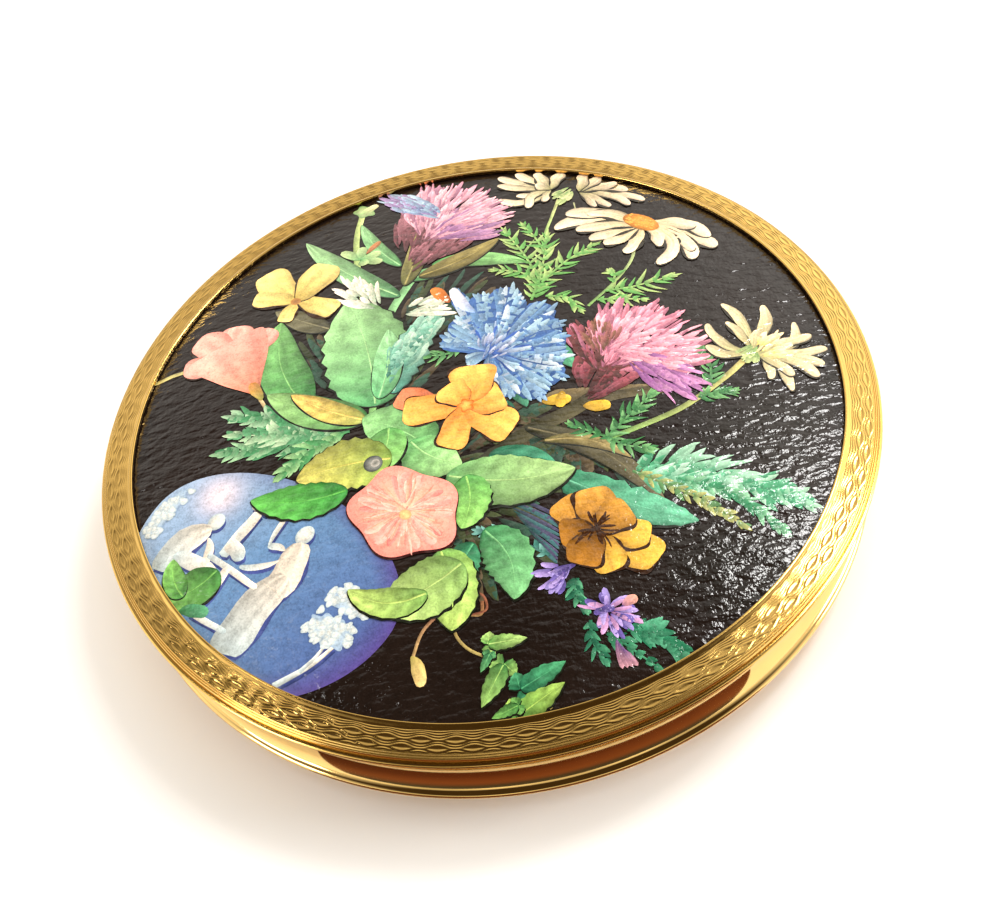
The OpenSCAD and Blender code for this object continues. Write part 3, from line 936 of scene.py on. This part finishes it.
class PILLBOX_OT_leaves(bpy.types.Operator):
    """Leaves, feathery greens and stalks behind and under the flowers"""
    bl_idname = "pillbox.leaves"
    bl_label = "Leaves and stalks"

    def execute(self, context):
        self.undergrowth()
        self.stalks()
        self.slim_leaves()
        self.ferns()
        self.plumes()
        self.broad_leaves()
        self.ivy()
        return {"FINISHED"}

    def undergrowth(self):
        """Dim brush strokes in the dark between the flowers."""
        art = Painting(1, 10)
        dim = (("#1f2a1c", "#3c4a30"), ("#26241c", "#4f4a38"), ("#1c2a24", "#2f5244"))
        for root, centre, size, count in (((-4, -6), (-7.5, -3), (5.5, 3.5), 60),
                                          ((2, -6), (4.5, -2.5), (4.5, 3.5), 60),
                                          ((-5, -5), (-5.5, 5.0), (3.5, 3.0), 40),
                                          ((4, -8), (7.5, -9), (3, 3), 40),
                                          ((7, 0), (9, -1.5), (5.5, 1.6), 50)):
            art.fluff(root, centre, size, count, 2.4, 0.5, dim)
        for x in range(9):
            art.dab((4.4 + x * 0.5, 0.6 + 0.4 * x), (5.2 + x * 0.6, 2.6 + 0.42 * x), 0.6, "#3a3a28",
                    "#6a6448", 0.1, rows=6)
        for k in range(14):
            art.dab((6.0 + 0.3 * k, -6.0 - 0.12 * k), (10.4 + 0.1 * k, -5.6 - 0.2 * k), 0.26, "#1f3c3c",
                    "#3c6a70" if k % 2 else "#4a4a6a", art.jitter(0.06), rows=6, cols=2)
        art.finish("undergrowth")

    def stalks(self):
        art = Painting(2, 11)
        art.stem([(-18.7, 10.8), (-16.6, 7.6), (-12.5, 3.4), (-7.6, -0.6), (-4.6, -5)], 0.45, "#a9c47c",
                 "#6fa868", 1.0)
        art.stem([(-10.3, 7), (-9.4, 3), (-8.2, 0.5)], 0.6, "#6fae78", "#84bd84", 1.0)
        art.stem([(-6.2, 18.4), (-5.4, 16.4), (-4.6, 14.3)], 0.24, "#b9c68a", "#7fae62", 0.8)
        art.stem([(-5.0, 18.6), (-3.8, 17.3)], 0.1, "#a9b68a", "#7f8e62", 0.8)
        art.stem([(0.9, 17.4), (2.1, 15.2), (2.4, 12.6), (2.2, 9.6)], 0.22, "#9fb080", "#6f9f5a", 0.9)
        art.stem([(13.2, 10.6), (12.9, 8.6), (12.0, 5.2), (10.4, 2.2), (9.2, 0.4)], 0.42, "#b0b070",
                 "#4f8f4c", 0.8)
        art.stem([(7.2, 4.2), (6.4, 1.5), (5.0, -1.4), (4.0, -4.6)], 1.0, "#4a4a34", "#2f3424", 1.1)
        art.stem([(10.2, 5.8), (8.4, 4.2), (7.0, 2.6)], 0.7, "#55523a", "#3f4030", 1.0)
        art.stem([(-12.9, -7.2), (-10.4, -8.1), (-7.6, -7.7), (-5.8, -6.4)], 0.26, "#b9b084", "#5f5c3a", 0.8)
        art.stem([(-19.2, -7.6), (-20.0, -8.4), (-20.9, -9.6), (-22.4, -10.2)], 0.32, "#b6b87a", "#a4a862",
                 1.0)
        art.stem([(-13.9, -6.1), (-12.4, -5.8), (-10.2, -5.6)], 0.22, "#d0c88a", "#9aa060", 0.8)
        art.stem([(9.4, -12.4), (9.8, -13.1), (9.2, -13.6), (9.0, -14.6), (10.4, -15.2), (13.0, -14.9),
                  (16.2, -15.6)], 0.2, "#6f4f38", "#9fa060", 0.8)
        art.stem([(8.4, -12.4), (9.2, -12.1), (9.9, -12.7), (9.4, -13.4)], 0.16, "#7a523c", "#6f4a38", 0.8)
        art.stem([(7.7, -14.4), (7.6, -15.8), (8.1, -17.4)], 0.2, "#7a5a48", "#a09060", 0.9)
        art.dab((7.9, -17.2), (9.4, -18.4), 0.8, "#8a8a48", "#cfc080", 0.1)
        art.spot((-18.7, 11.0), (0.85, 0.7), "#b0c490", "#6f9a62", waves=(5, 0.15, 0), cells=8)
        art.dab((-18.8, 10.6), (-18.3, 12.1), 0.7, "#7cae6c", "#cfd8a4")
        art.finish("stalks")

    def slim_leaves(self):
        art = Painting(3, 12)
        for start, end, wide, light, dark, bend in (
            ((-9.8, 4.4), (-20.4, 6.2), 1.9, "#90c48c", "#3c7850", 0.05),
            ((-11.8, 7.0), (-17.8, 9.6), 1.2, "#84bc84", "#3c7848", 0.06),
            ((-9.8, 8.0), (-3.9, 11.3), 1.5, "#7cb874", "#38743c", 0.08),
            ((-10.2, 6.0), (-7.8, 8.4), 1.2, "#7fbc80", "#3f8450", 0.1),
            ((-10.2, 5.4), (-13.3, 11.0), 1.5, "#90915a", "#4a5430", -0.04),
            ((-9.9, 6.6), (-7.3, 12.6), 1.6, "#8c8850", "#4a4c2c", -0.06),
            ((-12.2, -0.3), (-17.2, -0.6), 1.7, "#74785c", "#2f3428", 0.02),
            ((4.6, -1.2), (15.0, -1.6), 1.5, "#5f6048", "#23281c", 0.10),
            ((6.2, -1.5), (11.4, 0.2), 0.9, "#8a8558", "#44482a", 0.12),
            ((4.0, -4.2), (8.0, -2.6), 2.0, "#3f9070", "#164a36", 0.05),
            ((1.6, 1.0), (3.8, 0.2), 1.0, "#3f8468", "#184838", 0.1),
            ((2.4, 0.0), (3.6, -1.4), 0.9, "#2f7058", "#143c2c", 0.0),
            ((1.2, 4.8), (4.4, 4.4), 1.5, "#4a9a74", "#1f5a44", 0.15),
        ):
            art.leaf(start, end, wide, light, dark, bend, veins=3)
        art.leaf((8.4, -3.2), (17.0, -1.5), 2.6, "#5aa888", "#1f6448", -0.04, teeth=(9, 0.35))
        for end in ((-17.0, 6.4), (-15.9, 7.5), (-14.2, 7.6), (-13.4, 6.8), (-14.3, 6.0)):
            art.dab((-15.0, 6.3), end, 0.8, "#4f8f58", "#a4c48c", rows=6)
        art.dab((-15.1, 7.0), (-15.1, 8.6), 0.5, "#8a5a38", "#b0845a", rows=6)
        art.finish("slim_leaves")

    def ferns(self):
        art = Painting(4, 13)
        lime, grass, shade = "#a4c07c", "#5a9a50", "#2f6a3c"
        for points, count, reach in (
            ([(-1.4, 8.2), (-2.4, 10.8), (-4.4, 14.4)], 13, 1.7),
            ([(-2.4, 10.4), (-4.8, 12.0), (-7.4, 13.4)], 10, 1.5),
            ([(-1.8, 10.0), (-1.6, 12.8), (-0.9, 15.2)], 9, 1.5),
            ([(-3.2, 12.6), (-5.0, 13.8), (-6.6, 14.6)], 7, 1.1),
            ([(2.4, 11.4), (3.8, 12.8), (5.4, 15.0)], 9, 1.5),
            ([(2.4, 12.4), (2.0, 13.2), (1.6, 13.3)], 4, 0.8),
            ([(-0.8, 9.0), (0.6, 9.6), (2.0, 9.0)], 7, 1.0),
            ([(-1.6, 9.6), (-3.6, 10.2), (-5.4, 9.6)], 7, 1.2),
            ([(2.4, 10.4), (3.6, 11.2), (5.0, 12.0)], 6, 0.9),
        ):
            art.plume(points, count, reach, 0.3, grass, lime, splay=50)
        for points, count, reach in (
            ([(12.6, 7.6), (11.6, 9.2), (10.4, 10.0)], 9, 1.3),
            ([(12.4, 6.4), (13.2, 7.4), (13.9, 8.0)], 7, 1.0),
            ([(9.4, 1.0), (9.6, 3.0), (9.9, 5.2)], 10, 1.3),
            ([(9.2, 0.8), (10.6, 0.8), (12.0, 1.4)], 7, 1.1),
            ([(9.6, 0.8), (8.2, 0.6), (7.0, 0.4)], 6, 1.0),
            ([(-2.8, 2.2), (-3.6, 1.2), (-4.6, 0.6)], 6, 1.0),
        ):
            art.plume(points, count, reach, 0.3, shade, "#6fae70", splay=48)
        art.finish("ferns")

    def plumes(self):
        art = Painting(4, 14)
        for points, count, reach, wide, base, tip in (
            ([(11.6, -0.8), (14.4, 1.4), (18.0, 2.2), (21.4, 3.0)], 26, 2.3, 0.5, "#3a8a64", "#94c8ae"),
            ([(12.4, -0.6), (14.4, 0.4), (17.0, 1.8)], 16, 1.8, 0.45, "#4f9a78", "#a4d0bc"),
            ([(14.5, 0.4), (18.0, 1.2), (21.4, 0.6)], 16, 1.0, 0.36, "#2f7a54", "#7cba94"),
            ([(12.0, -0.6), (16.0, -0.2), (19.4, -0.4)], 14, 0.9, 0.36, "#4a7a4c", "#a0a868"),
            ([(-4.6, -5.6), (-8.0, -7.6), (-13.0, -9.4)], 22, 2.0, 0.5, "#3f8458", "#94bf9c"),
            ([(-5.0, -6.8), (-8.0, -9.4), (-11.6, -12.0)], 18, 1.9, 0.5, "#3a7a50", "#84b48c"),
            ([(-5.6, -7.6), (-8.4, -8.8), (-12.0, -10.6)], 14, 1.5, 0.45, "#4a8a60", "#a4c8a4"),
            ([(-5.2, -7.0), (-6.4, -9.4), (-6.8, -11.6)], 12, 1.3, 0.42, "#3f8450", "#8abb84"),
            ([(11.0, -8.0), (8.8, -8.2), (6.6, -8.8)], 8, 1.0, 0.3, "#2f645c", "#6aa8a0"),
            ([(13.2, -8.4), (13.6, -9.2), (14.6, -9.8)], 6, 0.9, 0.34, "#1f5a44", "#4f9a74"),
            ([(17.2, -9.6), (18.6, -9.0), (20.6, -9.2)], 9, 1.2, 0.5, "#1f6448", "#4a9a78"),
            ([(16.4, -10.4), (17.6, -10.4), (19.8, -10.6)], 7, 0.8, 0.4, "#1a5a40", "#3f8a68"),
            ([(15.2, -10.2), (16.0, -11.2), (17.2, -11.8)], 6, 0.8, 0.34, "#1f5a44", "#3f8a68"),
        ):
            art.plume(points, count, reach, wide, base, tip, form=(0.35, 0.7))
        art.fluff((-5.0, -3.0), (-6.0, 1.2), (0.9, 2.6), 46, 1.9, 0.5,
                  (("#3f8474", "#8fc4b0"), ("#4f947c", "#a8d0bc"), ("#2f6a5c", "#6fae98")))
        art.finish("plumes")

    def broad_leaves(self):
        art = Painting(5, 15)
        for start, end, wide, light, dark, bend, teeth in (
            ((-8.6, -6.6), (-16.0, -1.3), 3.4, "#74b46c", "#2f7a44", 0.10, 0),
            ((-4.8, -4.4), (-12.9, 2.4), 6.2, "#8ec488", "#4a9460", -0.04, 0.12),
            ((-4.4, -3.0), (-6.2, 4.4), 2.6, "#8cc4b0", "#3f8878", 0.08, 0.3),
            ((-5.0, -3.8), (-8.4, 1.4), 2.0, "#84bf8a", "#4f9a68", -0.05, 0),
            ((-4.6, -5.4), (-12.2, -6.9), 2.6, "#84b874", "#3f8448", 0.06, 0),
            ((-4.6, -5.6), (-10.6, -6.2), 1.7, "#d8c068", "#7f9850", 0.04, 0),
            ((0.4, -5.4), (-4.9, -5.6), 4.2, "#7fbd7c", "#4a8a50", -0.06, 0.1),
            ((-1.0, -5.6), (2.9, -5.4), 3.2, "#90c884", "#4a9054", -0.10, 0.1),
            ((-2.9, -5.4), (-1.6, -8.6), 2.6, "#84bf70", "#4a904c", 0.08, 0),
            ((-1.2, -7.2), (-5.6, -11.4), 3.8, "#b4b860", "#6f9a48", -0.05, 0.12),
            ((-2.2, -10.4), (-7.3, -13.9), 2.6, "#54a84c", "#2f7a38", 0.08, 0.1),
            ((2.6, -6.6), (9.0, -2.2), 3.6, "#90bc7c", "#508c54", -0.08, 0.06),
            ((3.6, -6.0), (5.6, -9.2), 2.6, "#7fbd64", "#3f8444", 0.10, 0.1),
            ((6.8, -8.6), (10.9, -11.4), 2.9, "#68ac74", "#2c6c44", 0.14, 0.14),
            ((6.8, -9.6), (8.6, -12.9), 2.1, "#4c9c70", "#246044", -0.14, 0.12),
            ((5.4, -11.0), (9.0, -14.8), 3.2, "#9cc468", "#5c9048", 0.06, 0.08),
            ((7.0, -11.0), (4.6, -15.9), 3.6, "#98bc70", "#608c4c", 0.06, 0.06),
            ((6.4, -13.6), (2.2, -15.8), 1.9, "#9cc068", "#5c8c48", 0.16, 0.05),
        ):
            art.leaf(start, end, wide, light, dark, bend, teeth=(8, teeth))
        art.spot((-2.0, -8.1), (0.6, 0.62), "#8f9a94", "#3f4a48", light=(0.3, 0.3), cells=10)
        art.spot((-1.9, -8.0), (0.28, 0.3), "#5f6a64", "#a4aca4", cells=6)
        art.finish("broad_leaves")

    def ivy(self):
        art = Painting(5, 16)
        for centre, heading, size, light, dark in (
            ((11.2, -14.4), 42, 2.2, "#94bf70", "#3f7a38"),
            ((12.6, -14.9), -82, 2.7, "#7fb060", "#2f6a38"),
            ((14.2, -15.6), 66, 2.9, "#3f8f64", "#134a34"),
            ((14.9, -17.0), 70, 3.2, "#8cb858", "#3a7434"),
            ((14.6, -16.4), -120, 1.6, "#5f9a50", "#2a6030"),
            ((11.6, -14.8), -80, 1.2, "#4f8f5c", "#1f5a3c"),
        ):
            for turn, share, wide in ((-75, 0.35, 0.4), (75, 0.35, 0.4), (0, 1.0, 0.42)):
                angle = math.radians(heading + turn)
                tip = Vector(centre) + Vector((math.cos(angle), math.sin(angle))) * size * share
                art.leaf(centre, tip, size * wide, light, dark, 0.0, veins=3, form=(0.45, 0.9),
                         teeth=(5, 0.2), rib=0.08)
        art.finish("ivy")


class PILLBOX_OT_thistles(bpy.types.Operator):
    """Two pink thistles and the blue cornflower, all made of many slim florets"""
    bl_idname = "pillbox.thistles"
    bl_label = "Thistles and cornflower"

    def execute(self, context):
        self.pink_thistle()
        self.magenta_thistle()
        self.cornflower()
        return {"FINISHED"}

    def pink_thistle(self):
        art = Painting(6, 21)
        plum = (("#4a3034", "#7a5058"), ("#5a3a40", "#946a74"), ("#3a2628", "#634248"))
        pink = (("#946c78", "#c898ac"), ("#ac8094", "#d8acbc"), ("#9c7488", "#e4c4cc"),
                ("#785468", "#a47c94"))
        violet = (("#6c4c78", "#987ca0"), ("#7c5884", "#ac88ac"))
        art.fluff((-10.6, 5.5), (-12.0, 10.6), (3.0, 1.7), 90, 1.9, 0.4, plum)
        art.fluff((-10.7, 4.5), (-10.9, 9.0), (1.1, 1.2), 26, 1.6, 0.34, plum)
        art.fluff((-12.0, 9.6), (-12.2, 13.3), (4.0, 2.6), 260, 1.25, 0.3, pink, edge=0.6)
        art.fluff((-12.0, 9.4), (-10.4, 12.4), (2.0, 1.4), 50, 1.2, 0.3, violet, edge=0.6)
        art.fluff((-12.2, 11.0), (-12.4, 14.2), (3.0, 2.0), 90, 1.1, 0.26, pink[1:3])
        art.fluff((-11.0, 12.6), (-15.6, 12.9), (2.1, 0.9), 44, 1.7, 0.36,
                  (("#586c94", "#8ca8c0"), ("#6c6490", "#988cb4"), ("#6488a4", "#9cbccc")))
        art.finish("pink_thistle")

    def magenta_thistle(self):
        art = Painting(6, 22)
        maroon = (("#3f2226", "#7a4048"), ("#54303a", "#94525f"), ("#2f1c1c", "#5a3434"))
        rose = (("#94586c", "#c88498"), ("#a87084", "#dc9cb0"), ("#9c647c", "#e8b8c4"),
                ("#784860", "#a47084"))
        violet = (("#6a4078", "#94689c"), ("#7a5084", "#b084b0"))
        art.fluff((6.6, 1.5), (6.5, 5.2), (1.9, 1.7), 70, 1.6, 0.4, maroon)
        art.fluff((6.4, 4.5), (4.6, 7.4), (2.0, 2.0), 80, 1.4, 0.36, maroon[1:] + rose[3:])
        art.fluff((6.2, 4.8), (7.0, 8.7), (3.6, 2.6), 250, 1.25, 0.3, rose, edge=0.6)
        art.fluff((5.6, 7.0), (9.4, 6.9), (1.9, 1.2), 60, 1.4, 0.32, violet, edge=0.8)
        art.fluff((5.4, 6.4), (7.4, 8.6), (2.6, 1.8), 80, 1.1, 0.26, rose[1:3])
        art.fluff((5.8, 5.8), (4.4, 7.6), (1.2, 1.2), 34, 0.9, 0.22,
                  (("#4a3828", "#7a5a48"), ("#5a3a38", "#946460")))
        art.finish("magenta_thistle")

    def cornflower(self):
        art = Painting(7, 23)
        tones = ("#749cb8", "#90b8c8", "#5c88ae", "#7ca8c0", "#acc8d4")
        root = (-0.9, 2.9)
        for tip, spread in (((4.9, 3.4), 1.4), ((4.7, 1.4), 1.4), ((2.8, 0.2), 1.4), ((-4.8, 2.4), 1.3),
                            ((-5.2, 4.4), 1.4), ((-6.9, 6.7), 0.8), ((-5.1, 7.4), 1.5), ((-3.7, 9.0), 1.6),
                            ((-2.2, 8.4), 1.0), ((0.1, 8.9), 1.5), ((1.6, 7.8), 1.5), ((3.0, 6.6), 1.4),
                            ((4.0, 5.2), 1.3), ((-1.9, 1.3), 0.8), ((0.6, 0.9), 1.0)):
            art.floret(root, tip, spread * 1.25, 6, 0.5, "#34588c", tones)
        art.dab((-4.0, 5.4), (-6.9, 6.7), 0.9, "#6f9cd0", "#d8e0e4", 0.1, rows=6)
        for tip, spread in (((-3.0, 4.8), 1.0), ((-1.6, 5.6), 0.9), ((0.2, 5.4), 1.0), ((1.8, 4.4), 1.0),
                            ((1.8, 2.6), 0.9), ((-2.9, 3.0), 0.8)):
            art.floret(root, tip, spread, 5, 0.36, "#31549a", tones[1:])
        art.fluff((-0.9, 1.8), (-0.9, 3.4), (1.3, 1.1), 26, 0.8, 0.22,
                  (("#4a6494", "#b0c4d8"), ("#3a5080", "#8cacc8")))
        art.finish("cornflower")


class PILLBOX_OT_daisies(bpy.types.Operator):
    """Cream daisies along the top and right, and small white flowers"""
    bl_idname = "pillbox.daisies"
    bl_label = "Daisies"

    def petals(self, art, centre, ends, base, tip):
        start, drop, shade = Vector(centre), Vector((0.08, -0.1)), "#2a2a20"
        for end, wide, bend in ends:
            curl = bend * 1.5 + art.jitter(0.06)
            art.dab(start + drop, Vector(end) + drop, wide * 1.1, shade, shade, curl, (0.8, 0.4), 0, 0,
                    rows=14, cols=8, wobble=0.2)
            art.dab(start, end, wide, base, tip, curl, (0.8, 0.4), rows=14, cols=8, rim=0.25, grooves=0.45,
                    wobble=0.24, rise=DAB * 3)

    def execute(self, context):
        cream, straw, moss = "#e4dfc0", "#c4bd88", "#8a9458"
        art = Painting(6, 31)
        self.petals(art, (-7.4, 19.2), (
            ((-11.9, 18.7), 0.8, 0.05), ((-11.3, 17.8), 0.7, 0.05), ((-11.0, 19.7), 0.8, 0.0),
            ((-10.0, 16.3), 0.8, 0.12), ((-9.2, 17.3), 0.6, 0.1), ((-7.5, 16.5), 0.8, -0.14),
            ((-6.9, 17.7), 0.6, -0.1), ((-9.6, 20.6), 0.9, 0.0), ((-8.0, 21.4), 0.9, 0.0),
            ((-8.8, 19.3), 0.8, 0),
        ), moss, cream)
        self.petals(art, (-5.4, 19.9), (
            ((-0.7, 21.3), 0.8, 0.08), ((-1.3, 20.3), 0.7, 0.06), ((-2.4, 19.4), 0.7, 0.05),
            ((-3.3, 18.9), 0.6, 0.0), ((-2.4, 21.8), 0.8, 0.05), ((-3.6, 22.2), 0.9, 0.0),
            ((-5.2, 22.3), 0.9, 0.0), ((-6.4, 22.0), 0.9, 0.0),
        ), moss, "#d8ceb4")
        art.fluff((-6.0, 21.5), (-6.2, 19.0), (0.9, 0.5), 18, 1.0, 0.3,
                  (("#5a8a4c", "#a4bc80"), ("#84a468", "#c4d09c")))
        art.finish("side_daisies")
        art = Painting(7, 32)
        self.petals(art, (0.7, 18.5), (
            ((6.3, 19.2), 1.4, 0.10), ((5.4, 20.0), 1.1, 0.10), ((4.0, 20.5), 1.1, 0.1),
            ((5.6, 17.2), 1.2, 0.12), ((5.2, 18.0), 1.0, 0.1), ((3.9, 15.5), 1.0, 0.30),
            ((3.0, 17.2), 0.9, 0.1), ((1.3, 15.4), 0.9, 0.05), ((-0.4, 15.5), 1.0, 0.0),
            ((-1.5, 15.4), 0.9, -0.05), ((-4.3, 15.2), 1.1, -0.16), ((-4.6, 17.0), 1.2, -0.14),
            ((-2.9, 15.8), 1.0, -0.08), ((-3.4, 17.9), 1.0, -0.1),
        ), straw, cream)
        art.spot((0.5, 18.9), (1.4, 0.8), "#e0a040", "#a06c22", light=(0.2, 0.3), streak=0.15, cells=14)
        for _ in range(40):
            x, y = 0.5 + art.jitter(1.1), 18.95 + art.jitter(0.55)
            art.spot((x, y), (0.13, 0.1), "#f0bc58", "#b88030", cells=3)
        art.finish("top_daisy")
        art = Painting(7, 33)
        self.petals(art, (13.3, 11.6), (
            ((9.5, 14.3), 0.7, -0.08), ((9.7, 12.2), 0.7, 0.1), ((10.6, 10.4), 0.7, 0.12),
            ((11.8, 15.7), 0.8, -0.08), ((10.6, 13.0), 0.6, 0.0), ((14.2, 15.4), 0.7, -0.18),
            ((15.6, 15.0), 0.7, -0.05), ((17.0, 14.5), 0.8, -0.06), ((17.5, 13.2), 0.8, 0.0),
            ((17.7, 12.0), 0.8, 0.05), ((16.9, 10.0), 0.7, 0.1), ((15.3, 10.1), 0.7, 0.1),
            ((16.4, 11.2), 0.7, 0.06), ((14.0, 13.8), 0.7, 0.0), ((12.6, 13.4), 0.7, 0.0),
        ), "#94a060", "#d8d4ac")
        art.fluff((13.3, 10.4), (14.2, 12.6), (1.2, 0.9), 26, 1.0, 0.26,
                  (("#a4a860", "#e0dcae"), ("#c4b850", "#e8e0b8")))
        art.fluff((13.3, 12.8), (13.2, 11.3), (0.7, 0.4), 12, 0.8, 0.26, (("#5a8a4c", "#a4bc80"),))
        art.finish("right_daisy")
        art = Painting(6, 34)
        white = (("#84a890", "#dfe4d2"), ("#94b49c", "#ecefe0"), ("#6f947c", "#c4d0bc"))
        art.fluff((-10.0, 2.6), (-12.4, 3.3), (1.5, 1.1), 30, 1.3, 0.36, white, edge=0.6)
        art.fluff((-8.8, 2.6), (-7.3, 4.3), (1.2, 0.8), 22, 1.2, 0.34, white, edge=0.6)
        art.finish("white_flowers")
        return {"FINISHED"}


class PILLBOX_OT_blooms(bpy.types.Operator):
    """Orange, yellow and brown flowers with broad petals, and the two coral trumpets"""
    bl_idname = "pillbox.blooms"
    bl_label = "Broad-petalled flowers"

    def execute(self, context):
        self.orange()
        self.yellow()
        self.pansy()
        self.morning_glory()
        self.bell()
        self.violets()
        return {"FINISHED"}

    def petals(self, art, centre, ends, base, tip, form=(0.55, 0.2), shade="#2c1c10"):
        start, drop = Vector(centre), Vector((0.06, -0.08))
        for end, wide in ends:
            art.dab(start + drop, Vector(end) + drop, wide * 1.06, shade, shade, 0, form, 0, 0,
                    rows=14, cols=8)
            art.dab(start, end, wide, base, tip, art.jitter(0.05), form, rows=14, cols=8, rim=0.22,
                    grooves=0.16, streak=0.2, light=0.12)

    def orange(self):
        art = Painting(8, 41)
        self.petals(art, (-0.6, -2.2), (((-4.0, -3.1), 2.0),), "#a8542c", "#d88860")
        self.petals(art, (0.3, -1.5), (((-2.9, -3.9), 2.4), ((1.4, -4.9), 2.0), ((4.1, -1.7), 2.6),
                                       ((1.9, 0.3), 2.6), ((-1.2, 1.4), 3.0), ((-1.7, -0.9), 2.2)),
                    "#d88434", "#f6bc5c")
        art.spot((0.4, -1.6), (0.5, 0.5), "#f0c060", "#b85c18", waves=(5, 0.2, 0), streak=0.1)
        art.finish("orange_flower")

    def yellow(self):
        art = Painting(7, 42)
        self.petals(art, (-16.4, 0.9), (((-20.8, 2.2), 2.6), ((-19.7, -0.3), 1.6), ((-15.9, -1.2), 1.2),
                                        ((-13.1, 1.2), 1.8), ((-17.0, 4.9), 2.7)),
                    "#aca050", "#e8dc88")
        art.spot((-16.5, 0.8), (0.4, 0.35), "#7a5a34", "#a88040")
        art.finish("yellow_flower")
        art = Painting(6, 48)
        for start, end, wide in (((4.4, 1.0), (5.8, 2.2), 0.9), ((5.0, 2.4), (5.6, 1.2), 0.7),
                                 ((6.8, 2.0), (8.2, 3.0), 0.9)):
            art.dab(start, end, wide, "#8a7428", "#d4b840")
        art.dab((-6.2, 5.4), (-8.2, 6.0), 0.9, "#8a4a24", "#d08438")
        art.finish("small_buds")

    def pansy(self):
        art = Painting(7, 43)
        self.petals(art, (12.8, -5.2), (((16.4, -5.0), 2.6), ((15.2, -3.8), 2.0), ((14.7, -6.9), 2.0)),
                    "#8a6824", "#dcb84c", (0.5, 0.25))
        self.petals(art, (12.3, -5.2), (((9.5, -4.6), 2.2), ((10.6, -2.9), 2.4), ((13.2, -2.9), 2.2)),
                    "#6a4a1c", "#c49840", (0.5, 0.22))
        self.petals(art, (12.3, -5.2), (((10.8, -6.6), 2.0), ((12.9, -7.6), 2.2)), "#3a2410", "#9a7028",
                    (0.5, 0.22))
        art.fluff((12.3, -5.1), (12.3, -5.2), (0.9, 0.9), 26, 0.9, 0.16, (("#1c100a", "#3a2410"),))
        art.finish("pansy")

    def morning_glory(self):
        art = Painting(8, 44)
        middle = Vector((1.9, -9.9))
        art.spot(middle + Vector((0.08, -0.1)), (3.56, 3.0), "#2c1414", "#2c1414", waves=(5, 0.08, 0.6),
                 cells=20)
        art.spot(middle, (3.5, 2.95), "#f4b89c", "#e08c80", waves=(5, 0.08, 0.6), light=(0.05, 0.12),
                 cells=34, streak=0.05)
        for k in range(5):
            for turn, reach, wide, base, tip in ((30, 3.1, 0.8, "#f4bca0", "#f4a89c"),
                                                 (66, 3.0, 0.5, "#e89488", "#dc8078"),
                                                 (50, 3.2, 0.9, "#e89488", "#f0a094")):
                angle = math.radians(72 * k + turn)
                way = Vector((math.cos(angle), math.sin(angle) * 0.84))
                art.dab(middle + way * 0.6, middle + way * reach, wide, base, tip, art.jitter(0.05), rows=8,
                        cols=4)
        streaks = (("#f0a494", "#f4b4a4"), ("#e48c80", "#ec9c8c"), ("#f0b090", "#e89080"))
        art.fluff(middle, middle, (2.6, 2.1), 90, 1.3, 0.16, streaks, edge=0.1)
        art.spot(middle + Vector((0.2, -0.2)), (0.4, 0.34), "#f0d090", "#e8a070", cells=8)
        art.finish("morning_glory")

    def bell(self):
        art = Painting(7, 45)
        coral, rose = "#fcb4a4", "#e08474"
        ends = (((-16.1, -2.0), 1.9), ((-18.9, -2.9), 2.6), ((-20.7, -5.2), 2.6), ((-19.6, -7.7), 2.0))
        self.petals(art, (-16.6, -5.4), ends, rose, coral, (0.6, 0.3))
        art.dab((-12.6, -7.3), (-18.4, -4.6), 5.9, "#c8805c", coral, 0.0, (1.1, 0.12), rows=24, cols=14,
                grooves=0.22, wobble=0.03)
        art.dab((-12.2, -7.4), (-14.0, -6.6), 0.8, "#7a8a44", "#b08048", rows=6)
        art.finish("coral_bell")

    def violets(self):
        art = Painting(7, 46)
        lilac = (("#3a3270", "#8c88c8"), ("#4a3c84", "#a49cd8"), ("#2c2858", "#5f58a0"))
        art.fluff((12.4, -8.0), (12.0, -9.0), (0.8, 0.9), 22, 0.9, 0.34, lilac)
        art.fluff((15.6, -9.2), (15.9, -9.2), (1.3, 0.8), 34, 0.9, 0.34, lilac + (("#6a4a7c", "#b898c4"),))
        art.dab((16.2, -8.5), (16.6, -7.6), 0.6, "#7a5a7c", "#c89c88")
        for k in range(4):
            art.dab((17.0 + 0.2 * k, -10.4 - 0.1 * k), (18.2 + 0.2 * k, -11.7 + 0.2 * k), 0.36, "#4a3c74",
                    "#a88490", rows=5)
        art.finish("violets")


# ---------------------------------------------------------------- panel and running

OPERATORS = (PILLBOX_OT_stage, PILLBOX_OT_bezel, PILLBOX_OT_band, PILLBOX_OT_fittings, PILLBOX_OT_tray,
             PILLBOX_OT_picture_ground, PILLBOX_OT_vase, PILLBOX_OT_leaves, PILLBOX_OT_thistles,
             PILLBOX_OT_daisies, PILLBOX_OT_blooms)


class PILLBOX_PT_panel(bpy.types.Panel):
    """Lists the pieces of the pill box in the sidebar"""
    bl_idname = "PILLBOX_PT_panel"
    bl_label = "Pill box"
    bl_space_type = "VIEW_3D"
    bl_region_type = "UI"
    bl_category = "Pill box"

    def draw(self, context):
        settings = context.scene.pill_box
        for name in settings.__annotations__:
            self.layout.prop(settings, name)
        for operator in OPERATORS:
            self.layout.operator(operator.bl_idname)


def register():
    for cls in (PillBoxSettings, *OPERATORS, PILLBOX_PT_panel):
        bpy.utils.register_class(cls)
    bpy.types.Scene.pill_box = bpy.props.PointerProperty(type=PillBoxSettings)


def unregister():
    del bpy.types.Scene.pill_box
    for cls in reversed((PillBoxSettings, *OPERATORS, PILLBOX_PT_panel)):
        bpy.utils.unregister_class(cls)


def main():
    register()
    for operator in OPERATORS:
        group, name = operator.bl_idname.split(".")
        getattr(getattr(bpy.ops, group), name)()


if __name__ == "__main__":
    main()
